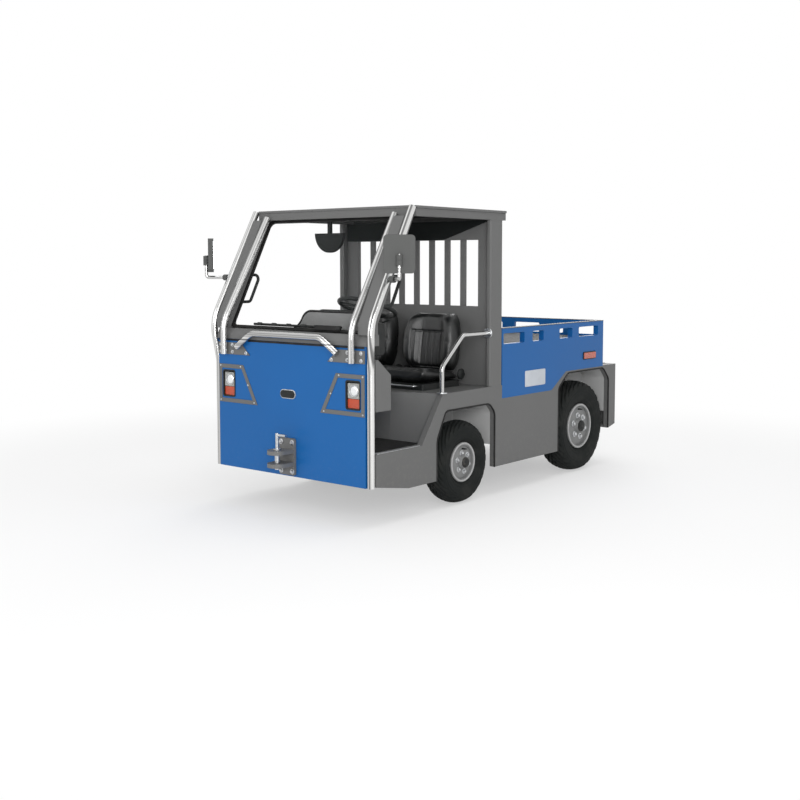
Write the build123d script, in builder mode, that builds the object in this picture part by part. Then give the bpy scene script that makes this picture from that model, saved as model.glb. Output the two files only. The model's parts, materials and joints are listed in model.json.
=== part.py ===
"""Electric tow tractor with an open two-seat cab, a low load deck and a pin coupling at each end.

Millimetres, +X forward, +Y to the driver's left, +Z up, origin on the ground under the middle.
Wheels, steering knuckles, tie rod, steering wheel and coupling pins are bodies that move.
"""

import os
from math import cos, radians, sin, tan

from build123d import *

os.makedirs("parts", exist_ok=True)

# Lengths along the tractor, from the front pin to the rear pin
COUPLING_REACH = 160.0
FRONT_OVERHANG = 935.0
WHEELBASE = 1481.0
REAR_OVERHANG = 486.0
TAIL_REACH = 148.0
HALF_LENGTH = (COUPLING_REACH + FRONT_OVERHANG + WHEELBASE + REAR_OVERHANG + TAIL_REACH) / 2
FRONT_X = HALF_LENGTH - COUPLING_REACH
TAIL_X = TAIL_REACH - HALF_LENGTH
FRONT_AXLE_X = FRONT_X - FRONT_OVERHANG
REAR_AXLE_X = FRONT_AXLE_X - WHEELBASE

# Widths and thicknesses
BODY_WIDTH = 1360.0
WALL = 40.0
SEAT_GAP = 0.3
HALF_W = BODY_WIDTH / 2
INNER_W = HALF_W - WALL
SIDES = ((1, "left"), (-1, "right"))

# Heights above the ground
SKIRT_Z = 195.0
PANEL_Z = 240.0
FLOOR_Z = 440.0
PAINT_LINE_Z = 650.0
SEAT_DECK_Z = 740.0
TAIL_Z = 776.0
LOAD_Z = 1000.0
SILL_Z = 1074.0
GLASS_Z = 1140.0
SIDE_RAIL_Z = 1121.0
ROOF_Z = 1913.0

# Kingpins and spindles
KINGPIN_IN = 140.0
KINGPIN_Y = HALF_W - KINGPIN_IN
KINGPIN_R = 14.9
PIN_FIT = 0.1
HUB_FIT = 0.5
SPINDLE_R = 25.0
TRACK_ARM_X = 150.0
TRACK_ARM_Y = 70.0

# Cab
POST_BEHIND_AXLE = 403.0
POST_X = FRONT_AXLE_X - POST_BEHIND_AXLE
POST_LENGTH = 138.0
WALL_AHEAD_OF_POST = 53.0
REAR_WALL_X = POST_X + WALL_AHEAD_OF_POST
REAR_WALL = 35.0
PLINTH_AHEAD = 395.0
PLINTH_X = FRONT_AXLE_X + PLINTH_AHEAD
ROOF_BEHIND_NOSE = 411.0
ROOF_FRONT_X = FRONT_X - ROOF_BEHIND_NOSE
ROOF_TAIL = 31.0
ROOF_REAR_X = POST_X - ROOF_TAIL
ROOF_RAIL = 48.0
ROOF_PLATE = 15.0
ROOF_RAISE = 8.0
ROOF_FASCIA = 26.0
TAIL_STEP = 200.0
BODY_REAR_X = TAIL_X + TAIL_STEP

# Bright tubes at the front corners: upright beside the nose, out at a knee, then back to the roof
TUBE_R = 22.0
TUBE_INSET = 23.0
TUBE_X = FRONT_X - TUBE_INSET
TUBE_Y = HALF_W - TUBE_R
KNEE_FORWARD = 20.0
KNEE_OUT = 20.0
KNEE_X = TUBE_X + KNEE_FORWARD
KNEE_Y = TUBE_Y + KNEE_OUT
KNEE_LOW_Z = 930.0
KNEE_TOP_Z = 1110.0
TUBE_BEND = 250.0
LEAN = 27.5
OUTER_LEAN = 28.8
LEAN_Z = 1205.0
INNER_TUBE_IN = 103.0
INNER_TUBE_Y = TUBE_Y - INNER_TUBE_IN
INNER_LEAN = 30.2
INNER_LEAN_Z = 1180.0
BRACKET = 6.0
INNER_TUBE_X = FRONT_X + BRACKET + TUBE_R + SEAT_GAP
PANEL_HALF_W = TUBE_Y - TUBE_R - SEAT_GAP
FRAME_HALF_W = KNEE_Y - TUBE_R - SEAT_GAP


def side_plane(y):
    """Upright plane along the tractor: sketch x is forward and sketch y is up."""
    return Plane(origin=(0, y, 0), x_dir=(1, 0, 0), z_dir=(0, -1, 0))


def cross_plane(x):
    """Upright plane across the tractor: sketch x is to the left and sketch y is up."""
    return Plane.YZ.offset(x)


def lean_x(z, base_x, lean=LEAN):
    """Place along the tractor, at a height, of a line that leans back above the knee."""
    return base_x - (z - LEAN_Z) * tan(radians(lean))


def save(piece, name):
    """Label a finished piece and write it under its own name."""
    piece.part.label = name
    export_step(piece.part, f"parts/{name}.step")


# Side skirts: one steel plate a side, stepped at the door, swept up to the nose and cut by both arches
ARCH_FRONT_LENGTH = 310.0
ARCH_REAR_LENGTH = 320.0
ARCH_Z = 629.0
ARCH_RAKE_X = 91.0
ARCH_RAKE_Z = 173.0
ARCH_BEVEL = 62.0
REAR_ARCH_FRONT = 356.0
REAR_ARCH_REAR = 379.0
REAR_ARCH_Z = 757.0
REAR_RAKE_X = 130.0
REAR_RAKE_Z = 99.0
REAR_BEVEL = 85.0
ARCH_LIP = 15.0
ARCH_CORNER = 45.0
ARCH_FOOT_Z = SKIRT_Z - 2 * ARCH_CORNER
DOOR_STEP = 150.0
DOOR_RAKE = 60.0
LINE_BEND = 95.0
LINE_RISE = 101.0
TAIL_LOW_Z = 306.0
SKIRT_NOSE_Z = 245.0
SKIRT_SWEEP = 345.0
SKIRT_FRONT_X = TUBE_X - TUBE_R - SEAT_GAP
ARCH_FRONT_X = FRONT_AXLE_X + ARCH_FRONT_LENGTH
ARCH_BACK_X = FRONT_AXLE_X - ARCH_REAR_LENGTH
REAR_ARCH_FRONT_X = REAR_AXLE_X + REAR_ARCH_FRONT
REAR_ARCH_BACK_X = REAR_AXLE_X - REAR_ARCH_REAR
LINE_BEND_X = REAR_ARCH_FRONT_X + LINE_BEND
LINE_TOP_X = REAR_ARCH_FRONT_X - LINE_RISE
LINE_TOP_Z = REAR_ARCH_Z + ARCH_LIP
FRONT_ARCH = (
    (ARCH_FRONT_X, ARCH_FOOT_Z),
    (ARCH_FRONT_X, ARCH_Z - ARCH_RAKE_Z),
    (ARCH_FRONT_X - ARCH_RAKE_X, ARCH_Z),
    (ARCH_BACK_X + ARCH_BEVEL, ARCH_Z),
    (ARCH_BACK_X, ARCH_Z - ARCH_BEVEL),
    (ARCH_BACK_X, ARCH_FOOT_Z),
)
REAR_ARCH = (
    (REAR_ARCH_FRONT_X, ARCH_FOOT_Z),
    (REAR_ARCH_FRONT_X, REAR_ARCH_Z - REAR_RAKE_Z),
    (REAR_ARCH_FRONT_X - REAR_RAKE_X, REAR_ARCH_Z),
    (REAR_ARCH_BACK_X + REAR_BEVEL, REAR_ARCH_Z),
    (REAR_ARCH_BACK_X, REAR_ARCH_Z - REAR_BEVEL),
    (REAR_ARCH_BACK_X, ARCH_FOOT_Z),
)
GUSSET_LENGTH = 134.0
GUSSET_FLAT = 18.0
GUSSET_LOW_Z = 690.0
GUSSET_SIDE_Z = 899.0
GUSSET_TOP_Z = 996.0
with BuildPart() as side_skirts:
    for side, hand in SIDES:
        with BuildSketch(side_plane(side * (HALF_W - WALL / 2))):
            with BuildLine():
                Polyline(
                    (SKIRT_FRONT_X, SKIRT_NOSE_Z),
                    (SKIRT_FRONT_X, FLOOR_Z),
                    (ARCH_FRONT_X + DOOR_STEP, FLOOR_Z),
                    (ARCH_FRONT_X - DOOR_RAKE, SEAT_DECK_Z),
                    (POST_X, SEAT_DECK_Z),
                    (POST_X, PAINT_LINE_Z),
                    (LINE_BEND_X, PAINT_LINE_Z),
                    (LINE_TOP_X, LINE_TOP_Z),
                    (BODY_REAR_X, LINE_TOP_Z),
                    (BODY_REAR_X, TAIL_Z),
                    (TAIL_X, TAIL_Z),
                    (TAIL_X, TAIL_LOW_Z),
                    (REAR_AXLE_X, SKIRT_Z),
                    (FRONT_X - SKIRT_SWEEP, SKIRT_Z),
                    close=True,
                )
            make_face()
            for arch in (FRONT_ARCH, REAR_ARCH):
                with BuildLine():
                    FilletPolyline(*arch, radius=ARCH_CORNER, close=True)
                make_face(mode=Mode.SUBTRACT)
            # Kick panel behind the corner tube
            with BuildLine():
                Polyline(
                    (SKIRT_FRONT_X, GUSSET_LOW_Z),
                    (SKIRT_FRONT_X, GUSSET_TOP_Z),
                    (SKIRT_FRONT_X - GUSSET_FLAT, GUSSET_TOP_Z),
                    (SKIRT_FRONT_X - GUSSET_LENGTH, GUSSET_SIDE_Z),
                    (SKIRT_FRONT_X - GUSSET_LENGTH, GUSSET_LOW_Z),
                    close=True,
                )
            make_face()
        extrude(amount=WALL / 2, both=True)
save(side_skirts, "side_skirts")

# Chassis frame: two stepped rails under the floor and the deck, joined by cross members
RAIL_IN = 400.0
RAIL_Y = HALF_W - RAIL_IN
RAIL_W = 50.0
RAIL_H = 80.0
RAIL_Z = 420.0
NOSE_RAIL_Z = 315.0
RAIL_STEP = 60.0
RAIL_STEP_X = ARCH_FRONT_X + RAIL_STEP
RAIL_DROP = 80.0
RAIL_BEVEL = 20.0
RAIL_TAIL_X = TAIL_X + WALL
CROSS_H = 60.0
CROSS_MEMBERS = (
    # middle x, rail height
    (FRONT_X - 95.0, NOSE_RAIL_Z),
    (FRONT_AXLE_X - 360.0, RAIL_Z),
    (REAR_AXLE_X + 451.0, RAIL_Z),
    (RAIL_TAIL_X + WALL, RAIL_Z),
)
with BuildPart() as chassis_frame:
    for side, hand in SIDES:
        with BuildSketch(side_plane(side * RAIL_Y)):
            with BuildLine():
                Polyline(
                    (FRONT_X - WALL, NOSE_RAIL_Z),
                    (FRONT_X - WALL, NOSE_RAIL_Z + RAIL_H),
                    (RAIL_STEP_X - RAIL_BEVEL, NOSE_RAIL_Z + RAIL_H),
                    (RAIL_STEP_X - RAIL_DROP - RAIL_BEVEL, RAIL_Z + RAIL_H),
                    (RAIL_TAIL_X, RAIL_Z + RAIL_H),
                    (RAIL_TAIL_X, RAIL_Z),
                    (RAIL_STEP_X - RAIL_DROP, RAIL_Z),
                    (RAIL_STEP_X, NOSE_RAIL_Z),
                    close=True,
                )
            make_face()
        extrude(amount=RAIL_W / 2, both=True)
    for cross_x, cross_z in CROSS_MEMBERS:
        with Locations((cross_x, 0, cross_z + RAIL_H / 2)):
            Box(RAIL_W, 2 * RAIL_Y, CROSS_H)
save(chassis_frame, "chassis_frame")

# Wheel wells: bent sheets that follow the arches, open below and to the outside
WELL_SHEET = 5.0
WELLS = (
    # arch, inner y, bottom z
    (FRONT_ARCH, HALF_W - 360.0, 345.0),
    (REAR_ARCH, HALF_W - 240.0, 410.0),
)
with BuildPart() as wheel_wells:
    for arch, well_y, well_low in WELLS:
        for side, hand in SIDES:
            with BuildSketch(side_plane(side * INNER_W)):
                with BuildLine():
                    FilletPolyline(*arch, radius=ARCH_CORNER, close=True)
                make_face()
                offset(amount=WELL_SHEET)
            extrude(amount=side * (INNER_W - well_y))
            with BuildSketch(side_plane(side * INNER_W)):
                with BuildLine():
                    FilletPolyline(*arch, radius=ARCH_CORNER, close=True)
                make_face()
            extrude(amount=side * (INNER_W - well_y - WELL_SHEET), mode=Mode.SUBTRACT)
            with BuildSketch(Plane.XY.offset(well_low)):
                with Locations(((arch[0][0] + arch[-1][0]) / 2, side * (well_y + INNER_W) / 2)):
                    Rectangle(arch[0][0] - arch[-1][0] + 4 * WELL_SHEET, INNER_W - well_y + 2 * WELL_SHEET)
            extrude(amount=-well_low, mode=Mode.SUBTRACT)
save(wheel_wells, "wheel_wells")

# Footwell floor on the nose rails
FLOOR_BACK_X = PLINTH_X - WALL
with BuildPart() as cab_floor:
    with BuildSketch(Plane.XY.offset(NOSE_RAIL_Z + RAIL_H)):
        with Locations(((FRONT_X - WALL + FLOOR_BACK_X) / 2, 0)):
            Rectangle(FRONT_X - WALL - FLOOR_BACK_X, 2 * INNER_W)
    extrude(amount=FLOOR_Z - NOSE_RAIL_Z - RAIL_H)
save(cab_floor, "cab_floor")

# Seat plinth: a bent deck over the front wheels, its front corners swept back to the door steps
PLINTH_FLAT_IN = 320.0
PLINTH_FLAT_Y = HALF_W - PLINTH_FLAT_IN
PLINTH_RAKE = 20.0
PLINTH_CORNER_LOW = 5.0
PLINTH_CORNER_TOP = 160.0
PLINTH_TOP = 30.0
PLINTH_BACK_X = REAR_WALL_X + REAR_WALL
PLINTH_SECTIONS = (
    # height, front x at the middle, front x at the sides
    (FLOOR_Z, PLINTH_X, PLINTH_X - PLINTH_CORNER_LOW),
    (SEAT_DECK_Z, PLINTH_X - PLINTH_RAKE, PLINTH_X - PLINTH_CORNER_TOP),
)
with BuildPart() as seat_plinth:
    for section_z, section_x, corner_x in PLINTH_SECTIONS:
        with BuildSketch(Plane.XY.offset(section_z)):
            with BuildLine():
                Polyline(
                    (PLINTH_BACK_X, -INNER_W),
                    (corner_x, -INNER_W),
                    (section_x, -PLINTH_FLAT_Y),
                    (section_x, PLINTH_FLAT_Y),
                    (corner_x, INNER_W),
                    (PLINTH_BACK_X, INNER_W),
                    close=True,
                )
            make_face()
    loft(ruled=True)
    add(seat_plinth.part.moved(Location((-WALL, 0, -PLINTH_TOP))), mode=Mode.SUBTRACT)
save(seat_plinth, "seat_plinth")

# Front panel of the nose, with an opening for each lamp
LAMP_IN = 140.0
LAMP_Y = HALF_W - LAMP_IN
LAMP_W = 108.0
LAMP_LOW_Z = 701.0
LAMP_TOP_Z = 867.0
LAMP_MIDDLE_Z = (LAMP_LOW_Z + LAMP_TOP_Z) / 2
LAMP_H = LAMP_TOP_Z - LAMP_LOW_Z
LAMP_CORNER = 10.0
with BuildPart() as front_panel:
    with BuildSketch(cross_plane(FRONT_X - WALL)):
        with Locations((0, (PANEL_Z + SILL_Z) / 2)):
            Rectangle(2 * PANEL_HALF_W, SILL_Z - PANEL_Z)
        with Locations((LAMP_Y, LAMP_MIDDLE_Z), (-LAMP_Y, LAMP_MIDDLE_Z)):
            RectangleRounded(LAMP_W, LAMP_H, LAMP_CORNER, mode=Mode.SUBTRACT)
    extrude(amount=WALL)
save(front_panel, "front_panel")

# Windscreen sill: a folded grey section across the nose
SILL_DEPTH = 110.0
SILL_FOLD_X = 22.0
SILL_FOLD_Z = 26.0
SILL_OVERHANG = 12.0
with BuildPart() as windscreen_sill:
    with BuildSketch(side_plane(0)):
        with BuildLine():
            Polyline(
                (FRONT_X, SILL_Z),
                (FRONT_X, SILL_Z + SILL_FOLD_Z),
                (FRONT_X - SILL_FOLD_X, GLASS_Z),
                (FRONT_X - SILL_DEPTH, GLASS_Z),
                (FRONT_X - SILL_DEPTH, SILL_Z),
                close=True,
            )
        make_face()
    extrude(amount=PANEL_HALF_W + SILL_OVERHANG, both=True)
save(windscreen_sill, "windscreen_sill")

# Corner tubes, from the foot of the nose to the roof
OUTER_TOP_Z = 1897.0
INNER_TOP_X = ROOF_FRONT_X + ROOF_FASCIA + TUBE_R * cos(radians(INNER_LEAN)) + SEAT_GAP
INNER_TOP_Z = INNER_LEAN_Z + (INNER_TUBE_X - INNER_TOP_X) / tan(radians(INNER_LEAN))
INNER_LOW_Z = 975.0
with BuildPart() as corner_tubes:
    for side, hand in SIDES:
        with BuildLine() as outer_path:
            outer_run = FilletPolyline(
                (TUBE_X, side * TUBE_Y, PANEL_Z),
                (TUBE_X, side * TUBE_Y, KNEE_LOW_Z),
                (KNEE_X, side * KNEE_Y, KNEE_TOP_Z),
                (KNEE_X, side * KNEE_Y, LEAN_Z),
                (lean_x(OUTER_TOP_Z, KNEE_X, OUTER_LEAN), side * KNEE_Y, OUTER_TOP_Z),
                radius=TUBE_BEND,
            )
        with BuildSketch(Plane(origin=outer_run @ 0, z_dir=outer_run % 0)):
            Circle(TUBE_R)
        sweep(path=outer_path)
save(corner_tubes, "corner_tubes")

# Windscreen pillars: box sections that fill the slope between the two tubes of each side
PILLAR_DEPTH = 90.0
PILLAR_TOP_Z = ROOF_Z - ROOF_PLATE - ROOF_RAISE - ROOF_RAIL
PILLAR_Y = (KNEE_Y + INNER_TUBE_Y) / 2
PILLAR_W = KNEE_Y - INNER_TUBE_Y - 2 * TUBE_R - 2 * SEAT_GAP
PILLAR_X = TUBE_X + TUBE_R
with BuildPart() as windscreen_pillars:
    for side, hand in SIDES:
        with BuildSketch(side_plane(side * PILLAR_Y)):
            with BuildLine():
                Polyline(
                    (PILLAR_X, GLASS_Z),
                    (PILLAR_X, LEAN_Z),
                    (lean_x(PILLAR_TOP_Z, PILLAR_X), PILLAR_TOP_Z),
                    (lean_x(PILLAR_TOP_Z, PILLAR_X) - PILLAR_DEPTH, PILLAR_TOP_Z),
                    (PILLAR_X - PILLAR_DEPTH, LEAN_Z),
                    (PILLAR_X - PILLAR_DEPTH, GLASS_Z),
                    close=True,
                )
            make_face()
        extrude(amount=PILLAR_W / 2, both=True)
save(windscreen_pillars, "windscreen_pillars")

# Inner tubes on the nose's brackets, and a guard tube across the foot of the windscreen
GUARD_R = 20.0
GUARD_Z = 1117.0
GUARD_IN = 119.0
GUARD_SLOPE = 136.0
GUARD_END_Y = INNER_TUBE_Y - GUARD_IN
GUARD_BEND_Y = GUARD_END_Y - GUARD_SLOPE
GUARD_END_Z = 1025.0
GUARD_BEND = 120.0
GUARD_X = FRONT_X + BRACKET + GUARD_R + SEAT_GAP
with BuildPart() as windscreen_tubes:
    for side, hand in SIDES:
        with BuildLine(side_plane(side * INNER_TUBE_Y)) as inner_path:
            inner_run = FilletPolyline(
                (INNER_TUBE_X, INNER_LOW_Z),
                (INNER_TUBE_X, INNER_LEAN_Z),
                (INNER_TOP_X, INNER_TOP_Z),
                radius=TUBE_BEND,
            )
        with BuildSketch(Plane(origin=inner_run @ 0, z_dir=inner_run % 0)):
            Circle(TUBE_R)
        sweep(path=inner_path)
    with BuildLine(cross_plane(GUARD_X)) as guard_path:
        guard_run = FilletPolyline(
            (-GUARD_END_Y, GUARD_END_Z),
            (-GUARD_BEND_Y, GUARD_Z),
            (GUARD_BEND_Y, GUARD_Z),
            (GUARD_END_Y, GUARD_END_Z),
            radius=GUARD_BEND,
        )
    with BuildSketch(Plane(origin=guard_run @ 0, z_dir=guard_run % 0)):
        Circle(GUARD_R)
    sweep(path=guard_path)
save(windscreen_tubes, "windscreen_tubes")

# Trim on the nose: a band around each lamp, and the bracket plates that carry the inner tubes
SURROUND = 3.0
SURROUND_BAND = 26.0
SURROUND_TOP_Z = 908.0
SURROUND_LOW_Z = 660.0
SURROUND_IN = 4.0
SURROUND_TOP_W = 227.0
SURROUND_LOW_W = 357.0
SURROUND_EDGE_Y = PANEL_HALF_W - SURROUND_IN
SURROUND_TOP_Y = SURROUND_EDGE_Y - SURROUND_TOP_W
SURROUND_LOW_Y = SURROUND_EDGE_Y - SURROUND_LOW_W
BRACKET_IN = 215.0
BRACKET_RAKE = 83.0
BRACKET_LOW_Y = INNER_TUBE_Y - BRACKET_IN
BRACKET_TOP_Y = BRACKET_LOW_Y + BRACKET_RAKE
BRACKET_LOW_Z = 973.0
BRACKET_TOP_Z = 1050.0
with BuildPart() as nose_trim:
    for side, hand in SIDES:
        with BuildSketch(cross_plane(FRONT_X)):
            with BuildLine():
                Polyline(
                    (side * SURROUND_TOP_Y, SURROUND_TOP_Z),
                    (side * SURROUND_EDGE_Y, SURROUND_TOP_Z),
                    (side * SURROUND_EDGE_Y, SURROUND_LOW_Z),
                    (side * SURROUND_LOW_Y, SURROUND_LOW_Z),
                    close=True,
                )
            make_face()
            offset(amount=-SURROUND_BAND, kind=Kind.INTERSECTION, mode=Mode.SUBTRACT)
        extrude(amount=SURROUND)
    for side, hand in SIDES:
        with BuildSketch(cross_plane(FRONT_X)):
            with BuildLine():
                Polyline(
                    (side * BRACKET_LOW_Y, BRACKET_LOW_Z),
                    (side * BRACKET_TOP_Y, BRACKET_TOP_Z),
                    (side * PANEL_HALF_W, BRACKET_TOP_Z),
                    (side * PANEL_HALF_W, BRACKET_LOW_Z),
                    close=True,
                )
            make_face()
        extrude(amount=BRACKET)
save(nose_trim, "nose_trim")

# Lamps: a tray sunk in each opening with a thin lip, and a clear lens over an amber one
LAMP_LIP = 5.0
LAMP_LIP_T = 2.5
LAMP_DEPTH = 32.0
LAMP_SHELL = 4.0
LENS_DEPTH = 20.0
LENS_FIT = 1.0
LENS_SPLIT_Z = 762.0
LENS_SEAM = 1.5
LENS_HEAD = 9.0
LENS_W = LAMP_W - 2 * LAMP_SHELL - 2 * LENS_FIT
LENS_BACK_X = FRONT_X - LAMP_DEPTH + LAMP_SHELL
LENSES = (
    # low z, top z
    (LENS_SPLIT_Z + LENS_SEAM, LAMP_TOP_Z - LAMP_SHELL - LENS_HEAD),
    (LAMP_LOW_Z + LAMP_SHELL + LENS_FIT, LENS_SPLIT_Z - LENS_SEAM),
)
LENS_CORNER = 6.0
with BuildPart() as lamp_housings:
    for side, hand in SIDES:
        with BuildSketch(cross_plane(FRONT_X)):
            with Locations((side * LAMP_Y, LAMP_MIDDLE_Z)):
                RectangleRounded(LAMP_W + 2 * LAMP_LIP, LAMP_H + 2 * LAMP_LIP, LAMP_CORNER + LAMP_LIP)
        extrude(amount=LAMP_LIP_T)
        with BuildSketch(cross_plane(FRONT_X)):
            with Locations((side * LAMP_Y, LAMP_MIDDLE_Z)):
                RectangleRounded(LAMP_W - 2 * SEAT_GAP, LAMP_H - 2 * SEAT_GAP, LAMP_CORNER - SEAT_GAP)
        extrude(amount=-LAMP_DEPTH)
        with BuildSketch(cross_plane(LENS_BACK_X)):
            with Locations((side * LAMP_Y, LAMP_MIDDLE_Z)):
                RectangleRounded(LAMP_W - 2 * LAMP_SHELL, LAMP_H - 2 * LAMP_SHELL, LAMP_CORNER - LAMP_SHELL)
        extrude(amount=LAMP_DEPTH, mode=Mode.SUBTRACT)
save(lamp_housings, "lamp_housings")
with BuildPart() as headlamp_lenses:
    lens_low, lens_top = LENSES[0]
    for side, hand in SIDES:
        with BuildSketch(cross_plane(LENS_BACK_X)):
            with Locations((side * LAMP_Y, (lens_low + lens_top) / 2)):
                RectangleRounded(LENS_W, lens_top - lens_low, LENS_CORNER)
        extrude(amount=LENS_DEPTH)
save(headlamp_lenses, "headlamp_lenses")
MARKER_BEHIND_AXLE = 78.0
MARKER_X = REAR_AXLE_X - MARKER_BEHIND_AXLE
MARKER_Z = 868.0
MARKER_LENGTH = 170.0
MARKER_H = 44.0
MARKER_T = 8.0
with BuildPart() as amber_lenses:
    lens_low, lens_top = LENSES[1]
    for side, hand in SIDES:
        with BuildSketch(cross_plane(LENS_BACK_X)):
            with Locations((side * LAMP_Y, (lens_low + lens_top) / 2)):
                RectangleRounded(LENS_W, lens_top - lens_low, LENS_CORNER)
        extrude(amount=LENS_DEPTH)
        with BuildSketch(side_plane(side * (HALF_W + MARKER_T / 2))):
            with Locations((MARKER_X, MARKER_Z)):
                RectangleRounded(MARKER_LENGTH, MARKER_H, LENS_CORNER)
        extrude(amount=MARKER_T / 2, both=True)
save(amber_lenses, "amber_lenses")

# Windscreen glass in its rubber seal, leaning with the tubes
GLASS_HALF_W = INNER_TUBE_Y + TUBE_R
SEAL_BAND = 17.0
SEAL_CORNER = 36.0
SEAL_OUTER_CORNER = 20.0
SEAL = 14.0
GLASS = 6.0
SEAL_TIP = SEAL / 2 * sin(radians(LEAN)) + SEAT_GAP
GLASS_AHEAD = 36.0
GLASS_BASE_X = PILLAR_X - PILLAR_DEPTH + GLASS_AHEAD
GLASS_FOOT = Plane(
    origin=(GLASS_BASE_X, 0, GLASS_Z),
    x_dir=(0, 1, 0),
    z_dir=(cos(radians(LEAN)), 0, sin(radians(LEAN))),
)
GLASS_LOW = SEAL_TIP / cos(radians(LEAN))
GLASS_HIGH = (PILLAR_TOP_Z - GLASS_Z - SEAL_TIP) / cos(radians(LEAN))
GLASS_TALL = GLASS_HIGH - GLASS_LOW
GLASS_MIDDLE = (GLASS_HIGH + GLASS_LOW) / 2
WIPER = (
    # middle across, middle up the glass, length, width
    (-85.0, 29.0, 550.0, 12.0),
    (285.0, 24.0, 220.0, 30.0),
)
WIPER_T = 12.0
with BuildPart() as windscreen_seal:
    with BuildSketch(GLASS_FOOT):
        with Locations((0, GLASS_MIDDLE)):
            RectangleRounded(2 * GLASS_HALF_W, GLASS_TALL, SEAL_OUTER_CORNER)
            RectangleRounded(
                2 * (GLASS_HALF_W - SEAL_BAND), GLASS_TALL - 2 * SEAL_BAND, SEAL_CORNER, mode=Mode.SUBTRACT
            )
    extrude(amount=SEAL / 2, both=True)
    # Wiper: a blade and its arm on the outside of the windscreen
    with BuildSketch(GLASS_FOOT.offset(SEAL / 2)):
        for wiper_y, wiper_up, wiper_length, wiper_w in WIPER:
            with Locations((wiper_y, wiper_up)):
                Rectangle(wiper_length, wiper_w)
    extrude(amount=WIPER_T)
save(windscreen_seal, "windscreen_seal")
with BuildPart() as windscreen_glass:
    with BuildSketch(GLASS_FOOT):
        with Locations((0, GLASS_MIDDLE)):
            RectangleRounded(
                2 * (GLASS_HALF_W - SEAL_BAND - SEAT_GAP),
                GLASS_TALL - 2 * SEAL_BAND - 2 * SEAT_GAP,
                SEAL_CORNER - SEAT_GAP,
            )
    extrude(amount=GLASS / 2, both=True)
save(windscreen_glass, "windscreen_glass")

# Roof: rails around the cab, a cover plate with a raised panel and a dark headliner between the rails
RAIL_TOP_Z = ROOF_Z - ROOF_PLATE - ROOF_RAISE
ROOF_EDGE = 7.0
ROOF_VISOR = 30.0
ROOF_BORDER = 80.0
ROOF_SIDE_BORDER = 120.0
ROOF_CORNER = 40.0
HEADLINER = 14.0
with BuildPart() as roof_frame:
    with BuildSketch(Plane.XY.offset(RAIL_TOP_Z - ROOF_RAIL)):
        with Locations(((ROOF_FRONT_X + ROOF_REAR_X) / 2, 0)):
            Rectangle(ROOF_FRONT_X - ROOF_REAR_X, BODY_WIDTH)
            Rectangle(ROOF_FRONT_X - ROOF_REAR_X - 2 * WALL, BODY_WIDTH - 2 * WALL, mode=Mode.SUBTRACT)
        with Locations((ROOF_FRONT_X + ROOF_FASCIA / 2, 0)):
            Rectangle(ROOF_FASCIA, 2 * FRAME_HALF_W)
    extrude(amount=ROOF_RAIL)
save(roof_frame, "roof_frame")
with BuildPart() as roof_cover:
    with BuildSketch(Plane.XY.offset(RAIL_TOP_Z)):
        with Locations(((ROOF_FRONT_X + ROOF_REAR_X) / 2, 0)):
            Rectangle(ROOF_FRONT_X - ROOF_REAR_X, BODY_WIDTH + 2 * ROOF_EDGE)
        with Locations((ROOF_FRONT_X + ROOF_VISOR / 2, 0)):
            Rectangle(ROOF_VISOR, 2 * FRAME_HALF_W)
    extrude(amount=ROOF_PLATE)
    with BuildSketch(Plane.XY.offset(RAIL_TOP_Z + ROOF_PLATE)):
        with Locations(((ROOF_FRONT_X + ROOF_REAR_X) / 2, 0)):
            RectangleRounded(
                ROOF_FRONT_X - ROOF_REAR_X - 2 * ROOF_BORDER, BODY_WIDTH - 2 * ROOF_SIDE_BORDER, ROOF_CORNER
            )
    extrude(amount=ROOF_RAISE, taper=45)
save(roof_cover, "roof_cover")
with BuildPart() as headliner:
    with BuildSketch(Plane.XY.offset(RAIL_TOP_Z - HEADLINER)):
        with Locations(((ROOF_FRONT_X + ROOF_REAR_X) / 2, 0)):
            Rectangle(ROOF_FRONT_X - ROOF_REAR_X - 2 * WALL, BODY_WIDTH - 2 * WALL)
    extrude(amount=HEADLINER)
save(headliner, "headliner")

# Rear posts, the cab's rear wall with its window, and the window's guard bars
POST_TOP_Z = RAIL_TOP_Z - ROOF_RAIL
POST_EDGE = 10.0
with BuildPart() as rear_posts:
    for side, hand in SIDES:
        with BuildSketch(Plane.XY.offset(SEAT_DECK_Z)):
            with Locations((POST_X + POST_LENGTH / 2, side * (HALF_W - WALL / 2))):
                Rectangle(POST_LENGTH, WALL)
        extrude(amount=POST_TOP_Z - SEAT_DECK_Z)
    chamfer(rear_posts.edges().filter_by(Axis.Z), POST_EDGE)
save(rear_posts, "rear_posts")

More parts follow.
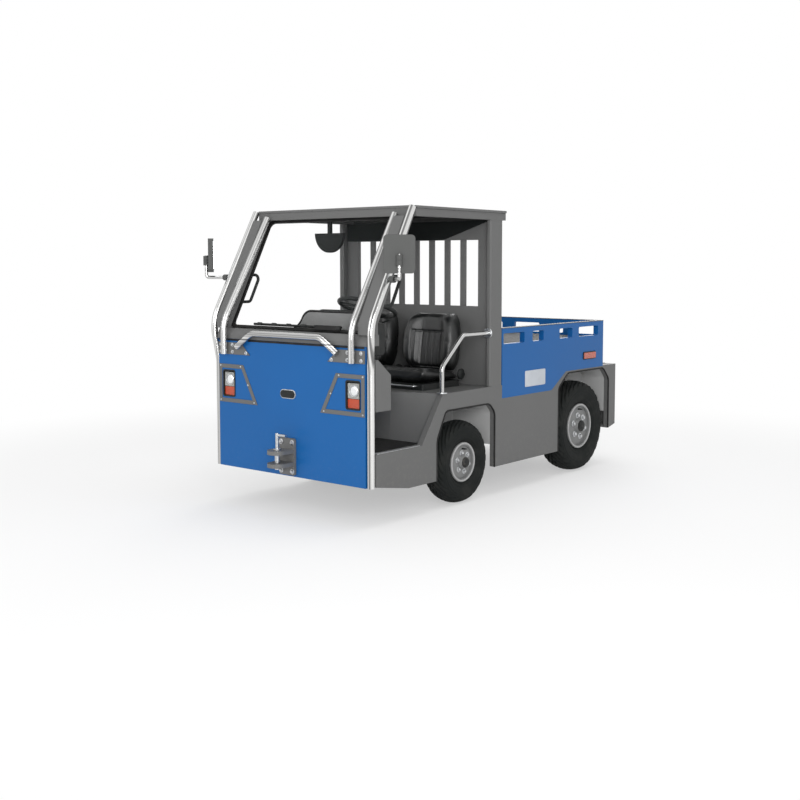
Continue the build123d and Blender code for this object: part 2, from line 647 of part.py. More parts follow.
WINDOW_LOW_Z = 1270.0
WINDOW_HEAD = 128.0
WINDOW_TOP_Z = POST_TOP_Z - WINDOW_HEAD
WINDOW_SIDE = 100.0
WINDOW_HALF_W = INNER_W - WINDOW_SIDE
WINDOW_MIDDLE_Z = (WINDOW_LOW_Z + WINDOW_TOP_Z) / 2
BAR_COUNT = 7
BAR_PITCH = 2 * WINDOW_HALF_W / (BAR_COUNT + 1)
BAR_W = 44.0
BAR_T = 14.0
BAR_SETBACK = 10.0
REAR_WALL_Z = SEAT_DECK_Z - PLINTH_TOP
with BuildPart() as cab_rear_wall:
    with BuildSketch(cross_plane(REAR_WALL_X)):
        with Locations((0, (REAR_WALL_Z + POST_TOP_Z) / 2)):
            Rectangle(2 * INNER_W, POST_TOP_Z - REAR_WALL_Z)
        with Locations((0, WINDOW_MIDDLE_Z)):
            Rectangle(2 * WINDOW_HALF_W, WINDOW_TOP_Z - WINDOW_LOW_Z, mode=Mode.SUBTRACT)
    extrude(amount=REAR_WALL)
    with BuildSketch(cross_plane(REAR_WALL_X + BAR_SETBACK)):
        with Locations((0, WINDOW_MIDDLE_Z)):
            with GridLocations(BAR_PITCH, 1, BAR_COUNT, 1):
                Rectangle(BAR_W, WINDOW_TOP_Z - WINDOW_LOW_Z)
    extrude(amount=BAR_T)
save(cab_rear_wall, "cab_rear_wall")

# Rear body: slotted sides, load deck, rear panel and the tail step with its bumper face
SLOTS = (
    # centre x, length
    (POST_X - 143.0, 256.0),
    (POST_X - 444.0, 144.0),
    (REAR_AXLE_X + 259.0, 178.0),
    (REAR_AXLE_X - 64.0, 284.0),
)
SLOT_Z = 1051.0
SLOT_H = 72.0
SLOT_CORNER = 12.0
with BuildPart() as body_sides:
    for side, hand in SIDES:
        with BuildSketch(side_plane(side * (HALF_W - WALL / 2))):
            with BuildLine():
                Polyline(
                    (POST_X, PAINT_LINE_Z),
                    (POST_X, SIDE_RAIL_Z),
                    (BODY_REAR_X, SIDE_RAIL_Z),
                    (BODY_REAR_X, LINE_TOP_Z),
                    (LINE_TOP_X, LINE_TOP_Z),
                    (LINE_BEND_X, PAINT_LINE_Z),
                    close=True,
                )
            make_face()
            for slot_x, slot_length in SLOTS:
                with Locations((slot_x, SLOT_Z)):
                    RectangleRounded(slot_length, SLOT_H, SLOT_CORNER, mode=Mode.SUBTRACT)
        extrude(amount=WALL / 2, both=True)
save(body_sides, "body_sides")

DECK_PLATE = 14.0
REAR_PANEL = 30.0
DECK_BACK_X = BODY_REAR_X + REAR_PANEL
with BuildPart() as load_deck:
    with BuildSketch(Plane.XY.offset(LOAD_Z - DECK_PLATE)):
        with Locations(((REAR_WALL_X + DECK_BACK_X) / 2, 0)):
            Rectangle(REAR_WALL_X - DECK_BACK_X, 2 * INNER_W)
    extrude(amount=DECK_PLATE)
save(load_deck, "load_deck")
REAR_SLOTS = (
    # centre y, length
    (103.0 - INNER_W, 155.0),
    (353.0 - INNER_W, 105.0),
    (0.0, 242.0),
    (INNER_W - 353.0, 105.0),
    (INNER_W - 103.0, 155.0),
)
with BuildPart() as rear_panel:
    with BuildSketch(cross_plane(BODY_REAR_X)):
        with Locations((0, (TAIL_Z + SIDE_RAIL_Z) / 2)):
            Rectangle(2 * INNER_W, SIDE_RAIL_Z - TAIL_Z)
        for slot_y, slot_length in REAR_SLOTS:
            with Locations((slot_y, SLOT_Z)):
                RectangleRounded(slot_length, SLOT_H, SLOT_CORNER, mode=Mode.SUBTRACT)
    extrude(amount=REAR_PANEL)
save(rear_panel, "rear_panel")
FLANGE_DROP = 24.0
FLANGE_T = 14.0
with BuildPart() as tail_bumper:
    with BuildSketch(side_plane(0)):
        with BuildLine():
            Polyline(
                (TAIL_X, TAIL_LOW_Z),
                (TAIL_X, TAIL_Z),
                (DECK_BACK_X, TAIL_Z),
                (DECK_BACK_X, TAIL_Z - DECK_PLATE),
                (TAIL_X + WALL, TAIL_Z - DECK_PLATE),
                (TAIL_X + WALL, TAIL_LOW_Z + FLANGE_T),
                (REAR_ARCH_BACK_X, TAIL_LOW_Z + FLANGE_T - FLANGE_DROP),
                (REAR_ARCH_BACK_X, TAIL_LOW_Z - FLANGE_DROP),
                close=True,
            )
        make_face()
    extrude(amount=INNER_W, both=True)
save(tail_bumper, "tail_bumper")

# Lamp stacks on the rear edge of the body
TAIL_LAMP_IN = 80.0
TAIL_LAMP_Y = HALF_W - TAIL_LAMP_IN
TAIL_LAMP_Z = 866.0
TAIL_LAMP_W = 70.0
TAIL_LAMP_H = 141.0
TAIL_LAMP_T = 38.0
with BuildPart() as tail_lamps:
    for side, hand in SIDES:
        with BuildSketch(cross_plane(BODY_REAR_X)):
            with Locations((side * TAIL_LAMP_Y, TAIL_LAMP_Z)):
                RectangleRounded(TAIL_LAMP_W, TAIL_LAMP_H, LAMP_CORNER)
        extrude(amount=-TAIL_LAMP_T)
save(tail_lamps, "tail_lamps")

# Traction battery: one plain block inside the rear body, on the rails
BATTERY_GAP = 12.0
BATTERY_LENGTH = 660.0
BATTERY_SIDE = 180.0
BATTERY_BEHIND_POST = 17.0
with BuildPart() as battery:
    with BuildSketch(Plane.XY.offset(RAIL_Z + RAIL_H)):
        with Locations((POST_X - BATTERY_BEHIND_POST - BATTERY_LENGTH / 2, 0)):
            Rectangle(BATTERY_LENGTH, BODY_WIDTH - 2 * BATTERY_SIDE)
    extrude(amount=LOAD_Z - DECK_PLATE - BATTERY_GAP - RAIL_Z - RAIL_H)
save(battery, "battery_block")

# Dashboard: a shelf behind the nose, with a binnacle that rises in front of the driver
DRIVER_IN = 410.0
DRIVER_Y = HALF_W - DRIVER_IN
DASH_BEHIND_NOSE = 255.0
DASH_X = FRONT_X - DASH_BEHIND_NOSE
DASH_DEPTH = 115.0
DASH_IN = 150.0
DASH_HALF_W = HALF_W - DASH_IN
DASH_LOW_Z = 1000.0
DASH_TOP_Z = 1262.0
DASH_END_Z = 1160.0
DASH_SHELF_Z = GLASS_Z - BRACKET
HUMP_FOOT = (DRIVER_Y - 410.0, DASH_SHELF_Z)
HUMP_FLANK = (DRIVER_Y - 335.0, 1160.0)
HUMP_WAIST = (DRIVER_Y - 285.0, 1210.0)
HUMP_TOP_Y = DRIVER_Y - 210.0
HUMP_END_Y = DASH_HALF_W - 90.0
HUMP_SHOULDER = (DASH_HALF_W - 25.0, 1235.0)
with BuildPart() as dashboard:
    with BuildSketch(cross_plane(DASH_X)):
        with BuildLine():
            Line((-DASH_HALF_W, DASH_LOW_Z), (-DASH_HALF_W, DASH_SHELF_Z))
            Line((-DASH_HALF_W, DASH_SHELF_Z), HUMP_FOOT)
            hump_rise = ThreePointArc(HUMP_FOOT, HUMP_FLANK, HUMP_WAIST)
            TangentArc(HUMP_WAIST, (HUMP_TOP_Y, DASH_TOP_Z), tangent=hump_rise % 1)
            Line((HUMP_TOP_Y, DASH_TOP_Z), (HUMP_END_Y, DASH_TOP_Z))
            ThreePointArc((HUMP_END_Y, DASH_TOP_Z), HUMP_SHOULDER, (DASH_HALF_W, DASH_END_Z))
            Line((DASH_HALF_W, DASH_END_Z), (DASH_HALF_W, DASH_LOW_Z))
            Line((DASH_HALF_W, DASH_LOW_Z), (-DASH_HALF_W, DASH_LOW_Z))
        make_face()
    extrude(amount=DASH_DEPTH)
    with Locations(((DASH_X + DASH_DEPTH + FRONT_X - WALL) / 2, 0, (DASH_LOW_Z + SILL_Z) / 2)):
        Box(FRONT_X - WALL - DASH_X - DASH_DEPTH, 2 * DASH_HALF_W, SILL_Z - DASH_LOW_Z)
save(dashboard, "dashboard")

# Steering column and wheel, tilted towards the driver
WHEEL_BEHIND_NOSE = 435.0
WHEEL_X = FRONT_X - WHEEL_BEHIND_NOSE
WHEEL_Z = 1280.0
COLUMN_TILT = 20.0
COLUMN_R = 30.0
RIM_R = 180.0
RIM_GRIP = 14.0
SPOKE_W = 26.0
SPOKE_T = 12.0
SPOKE_DROP = 8.0
HUB_DROP = 60.0
COLUMN_AXIS = (-sin(radians(COLUMN_TILT)), 0, cos(radians(COLUMN_TILT)))
WHEEL_PLANE = Plane(origin=(WHEEL_X, DRIVER_Y, WHEEL_Z), x_dir=(0, 1, 0), z_dir=COLUMN_AXIS)
PEDAL_BEHIND_NOSE = 195.0
PEDAL_X = FRONT_X - PEDAL_BEHIND_NOSE
PEDAL_RAKE = 50.0
PEDAL_FOOT = 30.0
PEDAL_H = 130.0
PEDAL_T = 12.0
PEDALS = (
    # middle y, width
    (DRIVER_Y + 130.0, 90.0),
    (DRIVER_Y - 110.0, 70.0),
)
with BuildPart() as driver_controls:
    with BuildSketch(WHEEL_PLANE.offset(-HUB_DROP)):
        Circle(COLUMN_R)
    extrude(amount=-(WHEEL_Z - FLOOR_Z) / cos(radians(COLUMN_TILT)))
    split(bisect_by=Plane.XY.offset(FLOOR_Z), keep=Keep.TOP)
    for pedal_y, pedal_w in PEDALS:
        with BuildSketch(side_plane(pedal_y)):
            with BuildLine():
                Polyline(
                    (PEDAL_X, FLOOR_Z),
                    (PEDAL_X + PEDAL_RAKE, FLOOR_Z + PEDAL_H),
                    (PEDAL_X + PEDAL_RAKE + PEDAL_T, FLOOR_Z + PEDAL_H),
                    (PEDAL_X + PEDAL_FOOT, FLOOR_Z),
                    close=True,
                )
            make_face()
        extrude(amount=pedal_w / 2, both=True)
save(driver_controls, "driver_controls")
with BuildPart() as steering_wheel:
    with BuildSketch(Plane(origin=WHEEL_PLANE.origin, x_dir=WHEEL_PLANE.x_dir, z_dir=WHEEL_PLANE.y_dir)):
        with Locations((RIM_R, 0)):
            Circle(RIM_GRIP)
    revolve(axis=Axis(WHEEL_PLANE.origin, WHEEL_PLANE.z_dir))
    with BuildSketch(WHEEL_PLANE.offset(-HUB_DROP + SEAT_GAP)):
        Circle(COLUMN_R)
    extrude(amount=HUB_DROP)
    with BuildSketch(WHEEL_PLANE.offset(-SPOKE_DROP)):
        with PolarLocations(RIM_R / 2, 3, start_angle=90):
            Rectangle(RIM_R, SPOKE_W)
    extrude(amount=SPOKE_T)
save(steering_wheel, "steering_wheel")

# Seats: a base, a cushion that rises to the front, and a winged back square to it
SEAT_W = 480.0
SEAT_AHEAD = 130.0
CUSHION_X = REAR_WALL_X + SEAT_AHEAD
CUSHION_LENGTH = 440.0
CUSHION_CORNER = 50.0
CUSHION_H = 35.0
SEAT_TILT = 8.0
BASE_H = 40.0
BASE_IN_X = 20.0
BASE_IN_Y = 30.0
BASE_CORNER = 20.0
BACK_H = 415.0
BACK_T = 95.0
BACK_INSET = 12.0
BACK_CORNER = 80.0
WING_DEPTH = 70.0
WING_TIP = 25.0
WING_IN = 145.0
SEAT_SINE = sin(radians(SEAT_TILT))
SEAT_COSINE = cos(radians(SEAT_TILT))
CUSHION_Z = SEAT_DECK_Z + BASE_H + SEAT_GAP
CUSHION_RISE = CUSHION_LENGTH * tan(radians(SEAT_TILT))
BACK_X = CUSHION_X + BACK_INSET
BACK_Z = CUSHION_Z + CUSHION_H + BACK_INSET * tan(radians(SEAT_TILT)) + SEAT_GAP
SEATS = (("driver", DRIVER_Y), ("passenger", -DRIVER_Y))
with BuildPart() as seat_bases:
    for seat_name, seat_y in SEATS:
        with BuildSketch(Plane.XY.offset(SEAT_DECK_Z)):
            with Locations((CUSHION_X + CUSHION_LENGTH / 2, seat_y)):
                RectangleRounded(CUSHION_LENGTH - 2 * BASE_IN_X, SEAT_W - 2 * BASE_IN_Y, BASE_CORNER)
        extrude(amount=BASE_H)
save(seat_bases, "seat_bases")
for seat_name, seat_y in SEATS:
    with BuildPart() as seat_cushion:
        with BuildSketch(Plane.XY.offset(CUSHION_Z)):
            with Locations((CUSHION_X + CUSHION_LENGTH / 2, seat_y)):
                RectangleRounded(CUSHION_LENGTH, SEAT_W, CUSHION_CORNER)
        extrude(amount=CUSHION_H + CUSHION_RISE)
        top_edge = (CUSHION_X, seat_y, CUSHION_Z + CUSHION_H)
        cushion_top = Plane(origin=top_edge, z_dir=(-SEAT_SINE, 0, SEAT_COSINE))
        split(bisect_by=cushion_top, keep=Keep.BOTTOM)
    save(seat_cushion, f"{seat_name}_seat_cushion")
    with BuildPart() as seat_back:
        # Plan of the back, with a wing at each side that reaches forward
        foot = (BACK_X, seat_y, BACK_Z)
        back_foot = Plane(origin=foot, x_dir=(0, 1, 0), z_dir=(-SEAT_SINE, 0, SEAT_COSINE))
        with BuildSketch(back_foot):
            with BuildLine():
                Polyline(
                    (-SEAT_W / 2, 0),
                    (SEAT_W / 2, 0),
                    (SEAT_W / 2, -BACK_T - WING_DEPTH),
                    (SEAT_W / 2 - WING_TIP, -BACK_T - WING_DEPTH),
                    (SEAT_W / 2 - WING_IN, -BACK_T),
                    (WING_IN - SEAT_W / 2, -BACK_T),
                    (WING_TIP - SEAT_W / 2, -BACK_T - WING_DEPTH),
                    (-SEAT_W / 2, -BACK_T - WING_DEPTH),
                    close=True,
                )
            make_face()
        extrude(amount=BACK_H)
        back_face = Plane(origin=foot, x_dir=(0, 1, 0), z_dir=(SEAT_COSINE, 0, SEAT_SINE))
        with BuildSketch(back_face):
            with Locations((0, BACK_H / 2)):
                RectangleRounded(SEAT_W, BACK_H, BACK_CORNER)
        extrude(amount=BACK_T + WING_DEPTH, mode=Mode.INTERSECT)
    save(seat_back, f"{seat_name}_seat_back")

# Hip rails beside the seats, from the deck's edge to the rear posts
HIP_R = 13.5
HIP_Y = HALF_W - WALL / 2
HIP_FOOT_X = ARCH_FRONT_X - 75.0
HIP_TOP_X = ARCH_FRONT_X - 295.0
HIP_KNEE_Z = 906.0
HIP_TOP_Z = 1097.0
HIP_BEND = 60.0
with BuildPart() as hip_rails:
    for side, hand in SIDES:
        with BuildLine(side_plane(side * HIP_Y)) as hip_path:
            hip_run = FilletPolyline(
                (HIP_FOOT_X, SEAT_DECK_Z),
                (HIP_FOOT_X, HIP_KNEE_Z),
                (HIP_TOP_X, HIP_TOP_Z),
                (POST_X + POST_LENGTH, HIP_TOP_Z),
                radius=HIP_BEND,
            )
        with BuildSketch(Plane(origin=hip_run @ 0, z_dir=hip_run % 0)):
            Circle(HIP_R)
        sweep(path=hip_path)
save(hip_rails, "hip_rails")

# Door mirrors on bent arms, their faces turned in to the driver
MIRROR_TOE = 40.5
MIRROR_BEHIND_NOSE = 95.0
MIRROR_OUT = 135.0
MIRROR_X = FRONT_X - MIRROR_BEHIND_NOSE
MIRROR_Y = HALF_W + MIRROR_OUT
MIRROR_Z = 1610.0
MIRROR_W = 184.0
MIRROR_H = 222.0
MIRROR_T = 36.0
MIRROR_CORNER = 24.0
ARM_R = 11.0
ARM_Z = 1464.0
ARM_STUB = 42.0
ARM_BEND = 18.0
ARM_TOP_Z = 1610.0
ARM_BACK = MIRROR_T / 2 + ARM_R + SEAT_GAP
ARM_FOOT_X = lean_x(ARM_Z, KNEE_X, OUTER_LEAN)
ARM_FOOT_Y = KNEE_Y + TUBE_R
ARM_X = MIRROR_X + ARM_BACK * cos(radians(MIRROR_TOE))
ARM_Y = MIRROR_Y + ARM_BACK * sin(radians(MIRROR_TOE))
with BuildPart() as mirror_arms:
    for side, hand in SIDES:
        with BuildLine() as arm_path:
            arm_run = FilletPolyline(
                (ARM_FOOT_X, side * (ARM_FOOT_Y + SEAT_GAP), ARM_Z),
                (ARM_FOOT_X, side * (ARM_FOOT_Y + ARM_STUB), ARM_Z),
                (ARM_X, side * ARM_Y, ARM_Z),
                (ARM_X, side * ARM_Y, ARM_TOP_Z),
                radius=ARM_BEND,
            )
        with BuildSketch(Plane(origin=arm_run @ 0, z_dir=arm_run % 0)):
            Circle(ARM_R)
        sweep(path=arm_path)
save(mirror_arms, "mirror_arms")
# Mirror inside the cab: a half-round glass case on a short stem under the roof's front rail
CAB_MIRROR_BEHIND = 26.0
CAB_MIRROR_X = ROOF_FRONT_X - CAB_MIRROR_BEHIND
CAB_MIRROR_Y = -50.0
CAB_MIRROR_TOP_Z = 1750.0
CAB_MIRROR_R = 125.0
CAB_MIRROR_T = 22.0
STEM_W = 24.0
MIRROR_GLASS = 3.0
GLASS_INSET = 9.0


def mirror_plane(side, behind):
    """Plane of a door mirror, a distance behind its front shell and facing the driver."""
    toe = radians(MIRROR_TOE)
    face = Plane(
        origin=(MIRROR_X, side * MIRROR_Y, MIRROR_Z),
        x_dir=(-side * sin(toe), cos(toe), 0),
        z_dir=(-cos(toe), -side * sin(toe), 0),
    )
    return face.offset(behind - MIRROR_T / 2)


with BuildPart() as mirror_housings:
    for side, hand in SIDES:
        with BuildSketch(mirror_plane(side, 0)):
            RectangleRounded(MIRROR_W, MIRROR_H, MIRROR_CORNER)
        extrude(amount=MIRROR_T)
    with BuildSketch(cross_plane(CAB_MIRROR_X)):
        with Locations((CAB_MIRROR_Y, CAB_MIRROR_TOP_Z)):
            Circle(CAB_MIRROR_R)
            with Locations((0, CAB_MIRROR_R)):
                Rectangle(2 * CAB_MIRROR_R, 2 * CAB_MIRROR_R, mode=Mode.SUBTRACT)
        with Locations((CAB_MIRROR_Y, (CAB_MIRROR_TOP_Z + PILLAR_TOP_Z) / 2)):
            Rectangle(STEM_W, PILLAR_TOP_Z - CAB_MIRROR_TOP_Z)
    extrude(amount=CAB_MIRROR_T / 2, both=True)
save(mirror_housings, "mirror_housings")
with BuildPart() as mirror_glasses:
    for side, hand in SIDES:
        with BuildSketch(mirror_plane(side, MIRROR_T)):
            RectangleRounded(
                MIRROR_W - 2 * GLASS_INSET, MIRROR_H - 2 * GLASS_INSET, MIRROR_CORNER - GLASS_INSET
            )
        extrude(amount=MIRROR_GLASS)
save(mirror_glasses, "mirror_glasses")

# Grab handles on the inside of the windscreen pillars
HANDLE_R = 10.0
HANDLE_LOW_Z = 1303.0
HANDLE_TOP_Z = 1480.0
HANDLE_REACH = 118.0
HANDLE_BEND = 28.0
HANDLE_SEAT = HANDLE_R * tan(radians(LEAN)) + SEAT_GAP
PILLAR_BACK_X = PILLAR_X - PILLAR_DEPTH
with BuildPart() as grab_handles:
    for side, hand in SIDES:
        with BuildLine(side_plane(side * PILLAR_Y)) as handle_path:
            handle_run = FilletPolyline(
                (lean_x(HANDLE_TOP_Z, PILLAR_BACK_X) - HANDLE_SEAT, HANDLE_TOP_Z),
                (lean_x(HANDLE_TOP_Z, PILLAR_BACK_X) - HANDLE_REACH, HANDLE_TOP_Z),
                (lean_x(HANDLE_LOW_Z, PILLAR_BACK_X) - HANDLE_REACH, HANDLE_LOW_Z),
                (lean_x(HANDLE_LOW_Z, PILLAR_BACK_X) - HANDLE_SEAT, HANDLE_LOW_Z),
                radius=HANDLE_BEND,
            )
        with BuildSketch(Plane(origin=handle_run @ 0, z_dir=handle_run % 0)):
            Circle(HANDLE_R)
        sweep(path=handle_path)
save(grab_handles, "grab_handles")

# Couplings: a flanged base with two jaws, and a lifting pin with a bent handle
JAW_T = 25.0
JAW_R = 62.0
PIN_R = 15.7
PIN_BORE_R = 16.0
COUPLINGS = (
    # name, face x, direction, lower jaw z, upper jaw z, base low z, base top z
    ("front", FRONT_X, 1, 310.0, 390.0, 250.0, 480.0),
    ("rear", TAIL_X, -1, 400.0, 490.0, 340.0, 580.0),
)
FLANGE_PLATE = 18.0
FLANGE_W = 130.0
FLANGE_CORNER = 12.0
COLLAR_R = 24.0
COLLAR_H = 10.0
PIN_POINT = 15.0
PIN_ROD_R = 10.5
PIN_ROD_H = 105.0
GRIP_R = 9.0
GRIP_LENGTH = 75.0
GRIP_DROP = 12.0
for end_name, face_x, way, jaw_low, jaw_high, base_low, base_top in COUPLINGS:
    pin_x = way * (HALF_LENGTH - JAW_R)
    with BuildPart() as coupling:
        with BuildSketch(cross_plane(face_x)):
            with Locations((0, (base_low + base_top) / 2)):
                RectangleRounded(FLANGE_W, base_top - base_low, FLANGE_CORNER)
        extrude(amount=way * FLANGE_PLATE)
        for jaw_z in (jaw_low, jaw_high):
            with BuildSketch(Plane.XY.offset(jaw_z)):
                with Locations((pin_x, 0)):
                    Circle(JAW_R)
                with Locations(((face_x + way * FLANGE_PLATE + pin_x) / 2, 0)):
                    Rectangle(abs(pin_x - face_x - way * FLANGE_PLATE), 2 * JAW_R)
                with Locations((pin_x, 0)):
                    Circle(PIN_BORE_R, mode=Mode.SUBTRACT)
            extrude(amount=JAW_T)
    save(coupling, f"{end_name}_coupling")
    jaw_top = jaw_high + JAW_T
    with BuildPart() as coupling_pin:
        with BuildSketch(Plane.XY.offset(jaw_low - PIN_POINT)):
            with Locations((pin_x, 0)):
                Circle(PIN_R)
        extrude(amount=jaw_top + SEAT_GAP - jaw_low + PIN_POINT)
        with BuildSketch(Plane.XY.offset(jaw_top + SEAT_GAP)):
            with Locations((pin_x, 0)):
                Circle(COLLAR_R)
        extrude(amount=COLLAR_H)
        with BuildSketch(Plane.XY.offset(jaw_top + SEAT_GAP)):
            with Locations((pin_x, 0)):
                Circle(PIN_ROD_R)
        extrude(amount=PIN_ROD_H)
        with BuildSketch(side_plane(0)):
            with Locations((pin_x, jaw_top + PIN_ROD_H - GRIP_DROP)):
                Circle(GRIP_R)
        extrude(amount=-GRIP_LENGTH)
    save(coupling_pin, f"{end_name}_coupling_pin")

# Front axle: a beam with an eye at each end for the kingpins, hung on leaf springs
BEAM_W = 80.0
BEAM_H = 70.0
BEAM_IN = 72.0
BEAM_Y = KINGPIN_Y - BEAM_IN
NECK_W = 60.0
NECK_H = 56.0
EYE_R = 32.0
EYE_H = 71.0
F_TYRE_R = 270.0
F_TYRE_W = 160.0
F_TYRE_IN = 90.0
F_TYRE_Y = HALF_W - F_TYRE_IN
R_TYRE_R = 338.0
R_TYRE_W = 190.0
R_TYRE_IN = 110.0
R_TYRE_Y = HALF_W - R_TYRE_IN
SPRING_T = 32.0
SPRING_REACH = 250.0
with BuildPart() as front_axle:
    with Locations((FRONT_AXLE_X, 0, F_TYRE_R)):
        Box(BEAM_W, 2 * BEAM_Y, BEAM_H)
        Box(NECK_W, 2 * KINGPIN_Y, NECK_H)
    for side, hand in SIDES:
        with Locations((FRONT_AXLE_X, side * KINGPIN_Y, F_TYRE_R)):
            Cylinder(EYE_R, EYE_H)
            Cylinder(KINGPIN_R + PIN_FIT, EYE_H, mode=Mode.SUBTRACT)
    for side, hand in SIDES:
        with BuildSketch(side_plane(side * RAIL_Y)):
            spring_z = F_TYRE_R + BEAM_H / 2
            with BuildLine():
                low_arc = ThreePointArc(
                    (FRONT_AXLE_X - SPRING_REACH, RAIL_Z - SPRING_T),
                    (FRONT_AXLE_X, spring_z),
                    (FRONT_AXLE_X + SPRING_REACH, RAIL_Z - SPRING_T),
                )
                Line(low_arc @ 1, (FRONT_AXLE_X + SPRING_REACH, RAIL_Z))
                high_arc = ThreePointArc(
                    (FRONT_AXLE_X + SPRING_REACH, RAIL_Z),
                    (FRONT_AXLE_X, spring_z + SPRING_T),
                    (FRONT_AXLE_X - SPRING_REACH, RAIL_Z),
                )
                Line(high_arc @ 1, low_arc @ 0)
            make_face()
        extrude(amount=RAIL_W / 2, both=True)
save(front_axle, "front_axle")

# Steering knuckles: a fork over the axle's eye, the kingpin, a wheel spindle and a track arm
LUG_T = 24.0
LUG_R = 34.0
FORK_GAP = 0.4
WEB_OUT = 42.0
WEB_Y = KINGPIN_Y + WEB_OUT
WEB_T = 20.0
SPINDLE_OUT = 72.0
SPINDLE_END_Y = F_TYRE_Y + SPINDLE_OUT
ARM_LOW_Z = 200.0
ARM_T = 22.0
ARM_W = 26.0
EYE_TOP = F_TYRE_R + EYE_H / 2
EYE_LOW = F_TYRE_R - EYE_H / 2
ROD_R = 10.0
ROD_Z = 186.0
ROD_PIN_R = 8.0
ROD_EYE_R = 14.0
ROD_EYE_H = 26.0
ARM_END_X = FRONT_AXLE_X - TRACK_ARM_X
ARM_END_Y = KINGPIN_Y - TRACK_ARM_Y
for side, hand in SIDES:
    with BuildPart() as knuckle:
        for lug_z in (EYE_LOW - FORK_GAP - LUG_T, EYE_TOP + FORK_GAP):
            with BuildSketch(Plane.XY.offset(lug_z)):
                with Locations((FRONT_AXLE_X, side * KINGPIN_Y)):
                    Circle(LUG_R)
                with Locations((FRONT_AXLE_X, side * (KINGPIN_Y + WEB_Y + WEB_T) / 2)):
                    Rectangle(2 * LUG_R, WEB_Y + WEB_T - KINGPIN_Y)
            extrude(amount=LUG_T)
        with Locations((FRONT_AXLE_X, side * (WEB_Y + WEB_T / 2), F_TYRE_R)):
            Box(2 * LUG_R, WEB_T, EYE_H + 2 * FORK_GAP + 2 * LUG_T)
        with Locations((FRONT_AXLE_X, side * KINGPIN_Y, F_TYRE_R)):
            Cylinder(KINGPIN_R, EYE_H + 2 * FORK_GAP + 2 * LUG_T)
        with BuildSketch(Plane(origin=(FRONT_AXLE_X, side * WEB_Y, F_TYRE_R), z_dir=(0, side, 0))):
            Circle(SPINDLE_R)
        extrude(amount=SPINDLE_END_Y - WEB_Y)
        with BuildSketch(Plane.XY.offset(ARM_LOW_Z)):
            with Locations((FRONT_AXLE_X, side * (KINGPIN_Y - (TRACK_ARM_Y + ARM_W / 2) / 2))):
                Rectangle(ARM_W, TRACK_ARM_Y + ARM_W / 2)
            with Locations((FRONT_AXLE_X - TRACK_ARM_X / 2, side * ARM_END_Y)):
                Rectangle(TRACK_ARM_X + ARM_W, ARM_W)
            with Locations((FRONT_AXLE_X, side * KINGPIN_Y)):
                Circle(ARM_W)
            if side > 0:
                with Locations((ARM_END_X, side * ARM_END_Y)):
                    Circle(ROD_PIN_R + PIN_FIT, mode=Mode.SUBTRACT)
        extrude(amount=ARM_T)
    save(knuckle, f"steering_knuckle_{hand}")

with BuildPart() as tie_rod:
    with BuildSketch(Plane(origin=(ARM_END_X, -ARM_END_Y, ROD_Z), z_dir=(0, 1, 0))):
        Circle(ROD_R)
    extrude(amount=2 * ARM_END_Y)
    for side, hand in SIDES:
        with Locations((ARM_END_X, side * ARM_END_Y, ROD_Z)):
            Cylinder(ROD_EYE_R, ROD_EYE_H)
    with BuildSketch(Plane.XY.offset(ROD_Z)):
        with Locations((ARM_END_X, ARM_END_Y)):
            Circle(ROD_PIN_R)
    extrude(amount=ARM_LOW_Z + ARM_T - ROD_Z)
save(tie_rod, "tie_rod")

# Rear drive axle: a housing with a round middle, tubes and spring pads, and the drive motor ahead of it
R_TUBE_R = 46.0
R_TUBE_IN = 240.0
R_TUBE_Y = HALF_W - R_TUBE_IN
R_SPINDLE_R = 33.0
R_SPINDLE_IN = 30.0
R_SPINDLE_Y = HALF_W - R_SPINDLE_IN
DIFF_R = 145.0
DIFF_NECK_R = 87.0
SPRING_PAD = 100.0
with BuildPart() as rear_axle:
    with Locations((REAR_AXLE_X, 0, R_TYRE_R)):
        Sphere(DIFF_R)
    with BuildSketch(Plane(origin=(REAR_AXLE_X, -R_TUBE_Y, R_TYRE_R), z_dir=(0, 1, 0))):
        Circle(R_TUBE_R)
    extrude(amount=2 * R_TUBE_Y)
    with BuildSketch(Plane(origin=(REAR_AXLE_X, -R_SPINDLE_Y, R_TYRE_R), z_dir=(0, 1, 0))):
        Circle(R_SPINDLE_R)
    extrude(amount=2 * R_SPINDLE_Y)
    with BuildSketch(cross_plane(REAR_AXLE_X)):
        with Locations((0, R_TYRE_R)):
            Circle(DIFF_NECK_R)
    extrude(amount=DIFF_R)
    for side, hand in SIDES:
        with Locations((REAR_AXLE_X, side * RAIL_Y, (R_TYRE_R + RAIL_Z) / 2)):
            Box(SPRING_PAD, RAIL_W, RAIL_Z - R_TYRE_R)
save(rear_axle, "rear_axle")
MOTOR_R = 128.0
MOTOR_AHEAD = 381.0
MOTOR_FRONT_X = REAR_AXLE_X + MOTOR_AHEAD
with BuildPart() as drive_motor:
    with BuildSketch(cross_plane(MOTOR_FRONT_X)):
        with Locations((0, R_TYRE_R)):
            Circle(MOTOR_R)
    extrude(amount=-(MOTOR_FRONT_X - REAR_AXLE_X - DIFF_R))
save(drive_motor, "drive_motor")

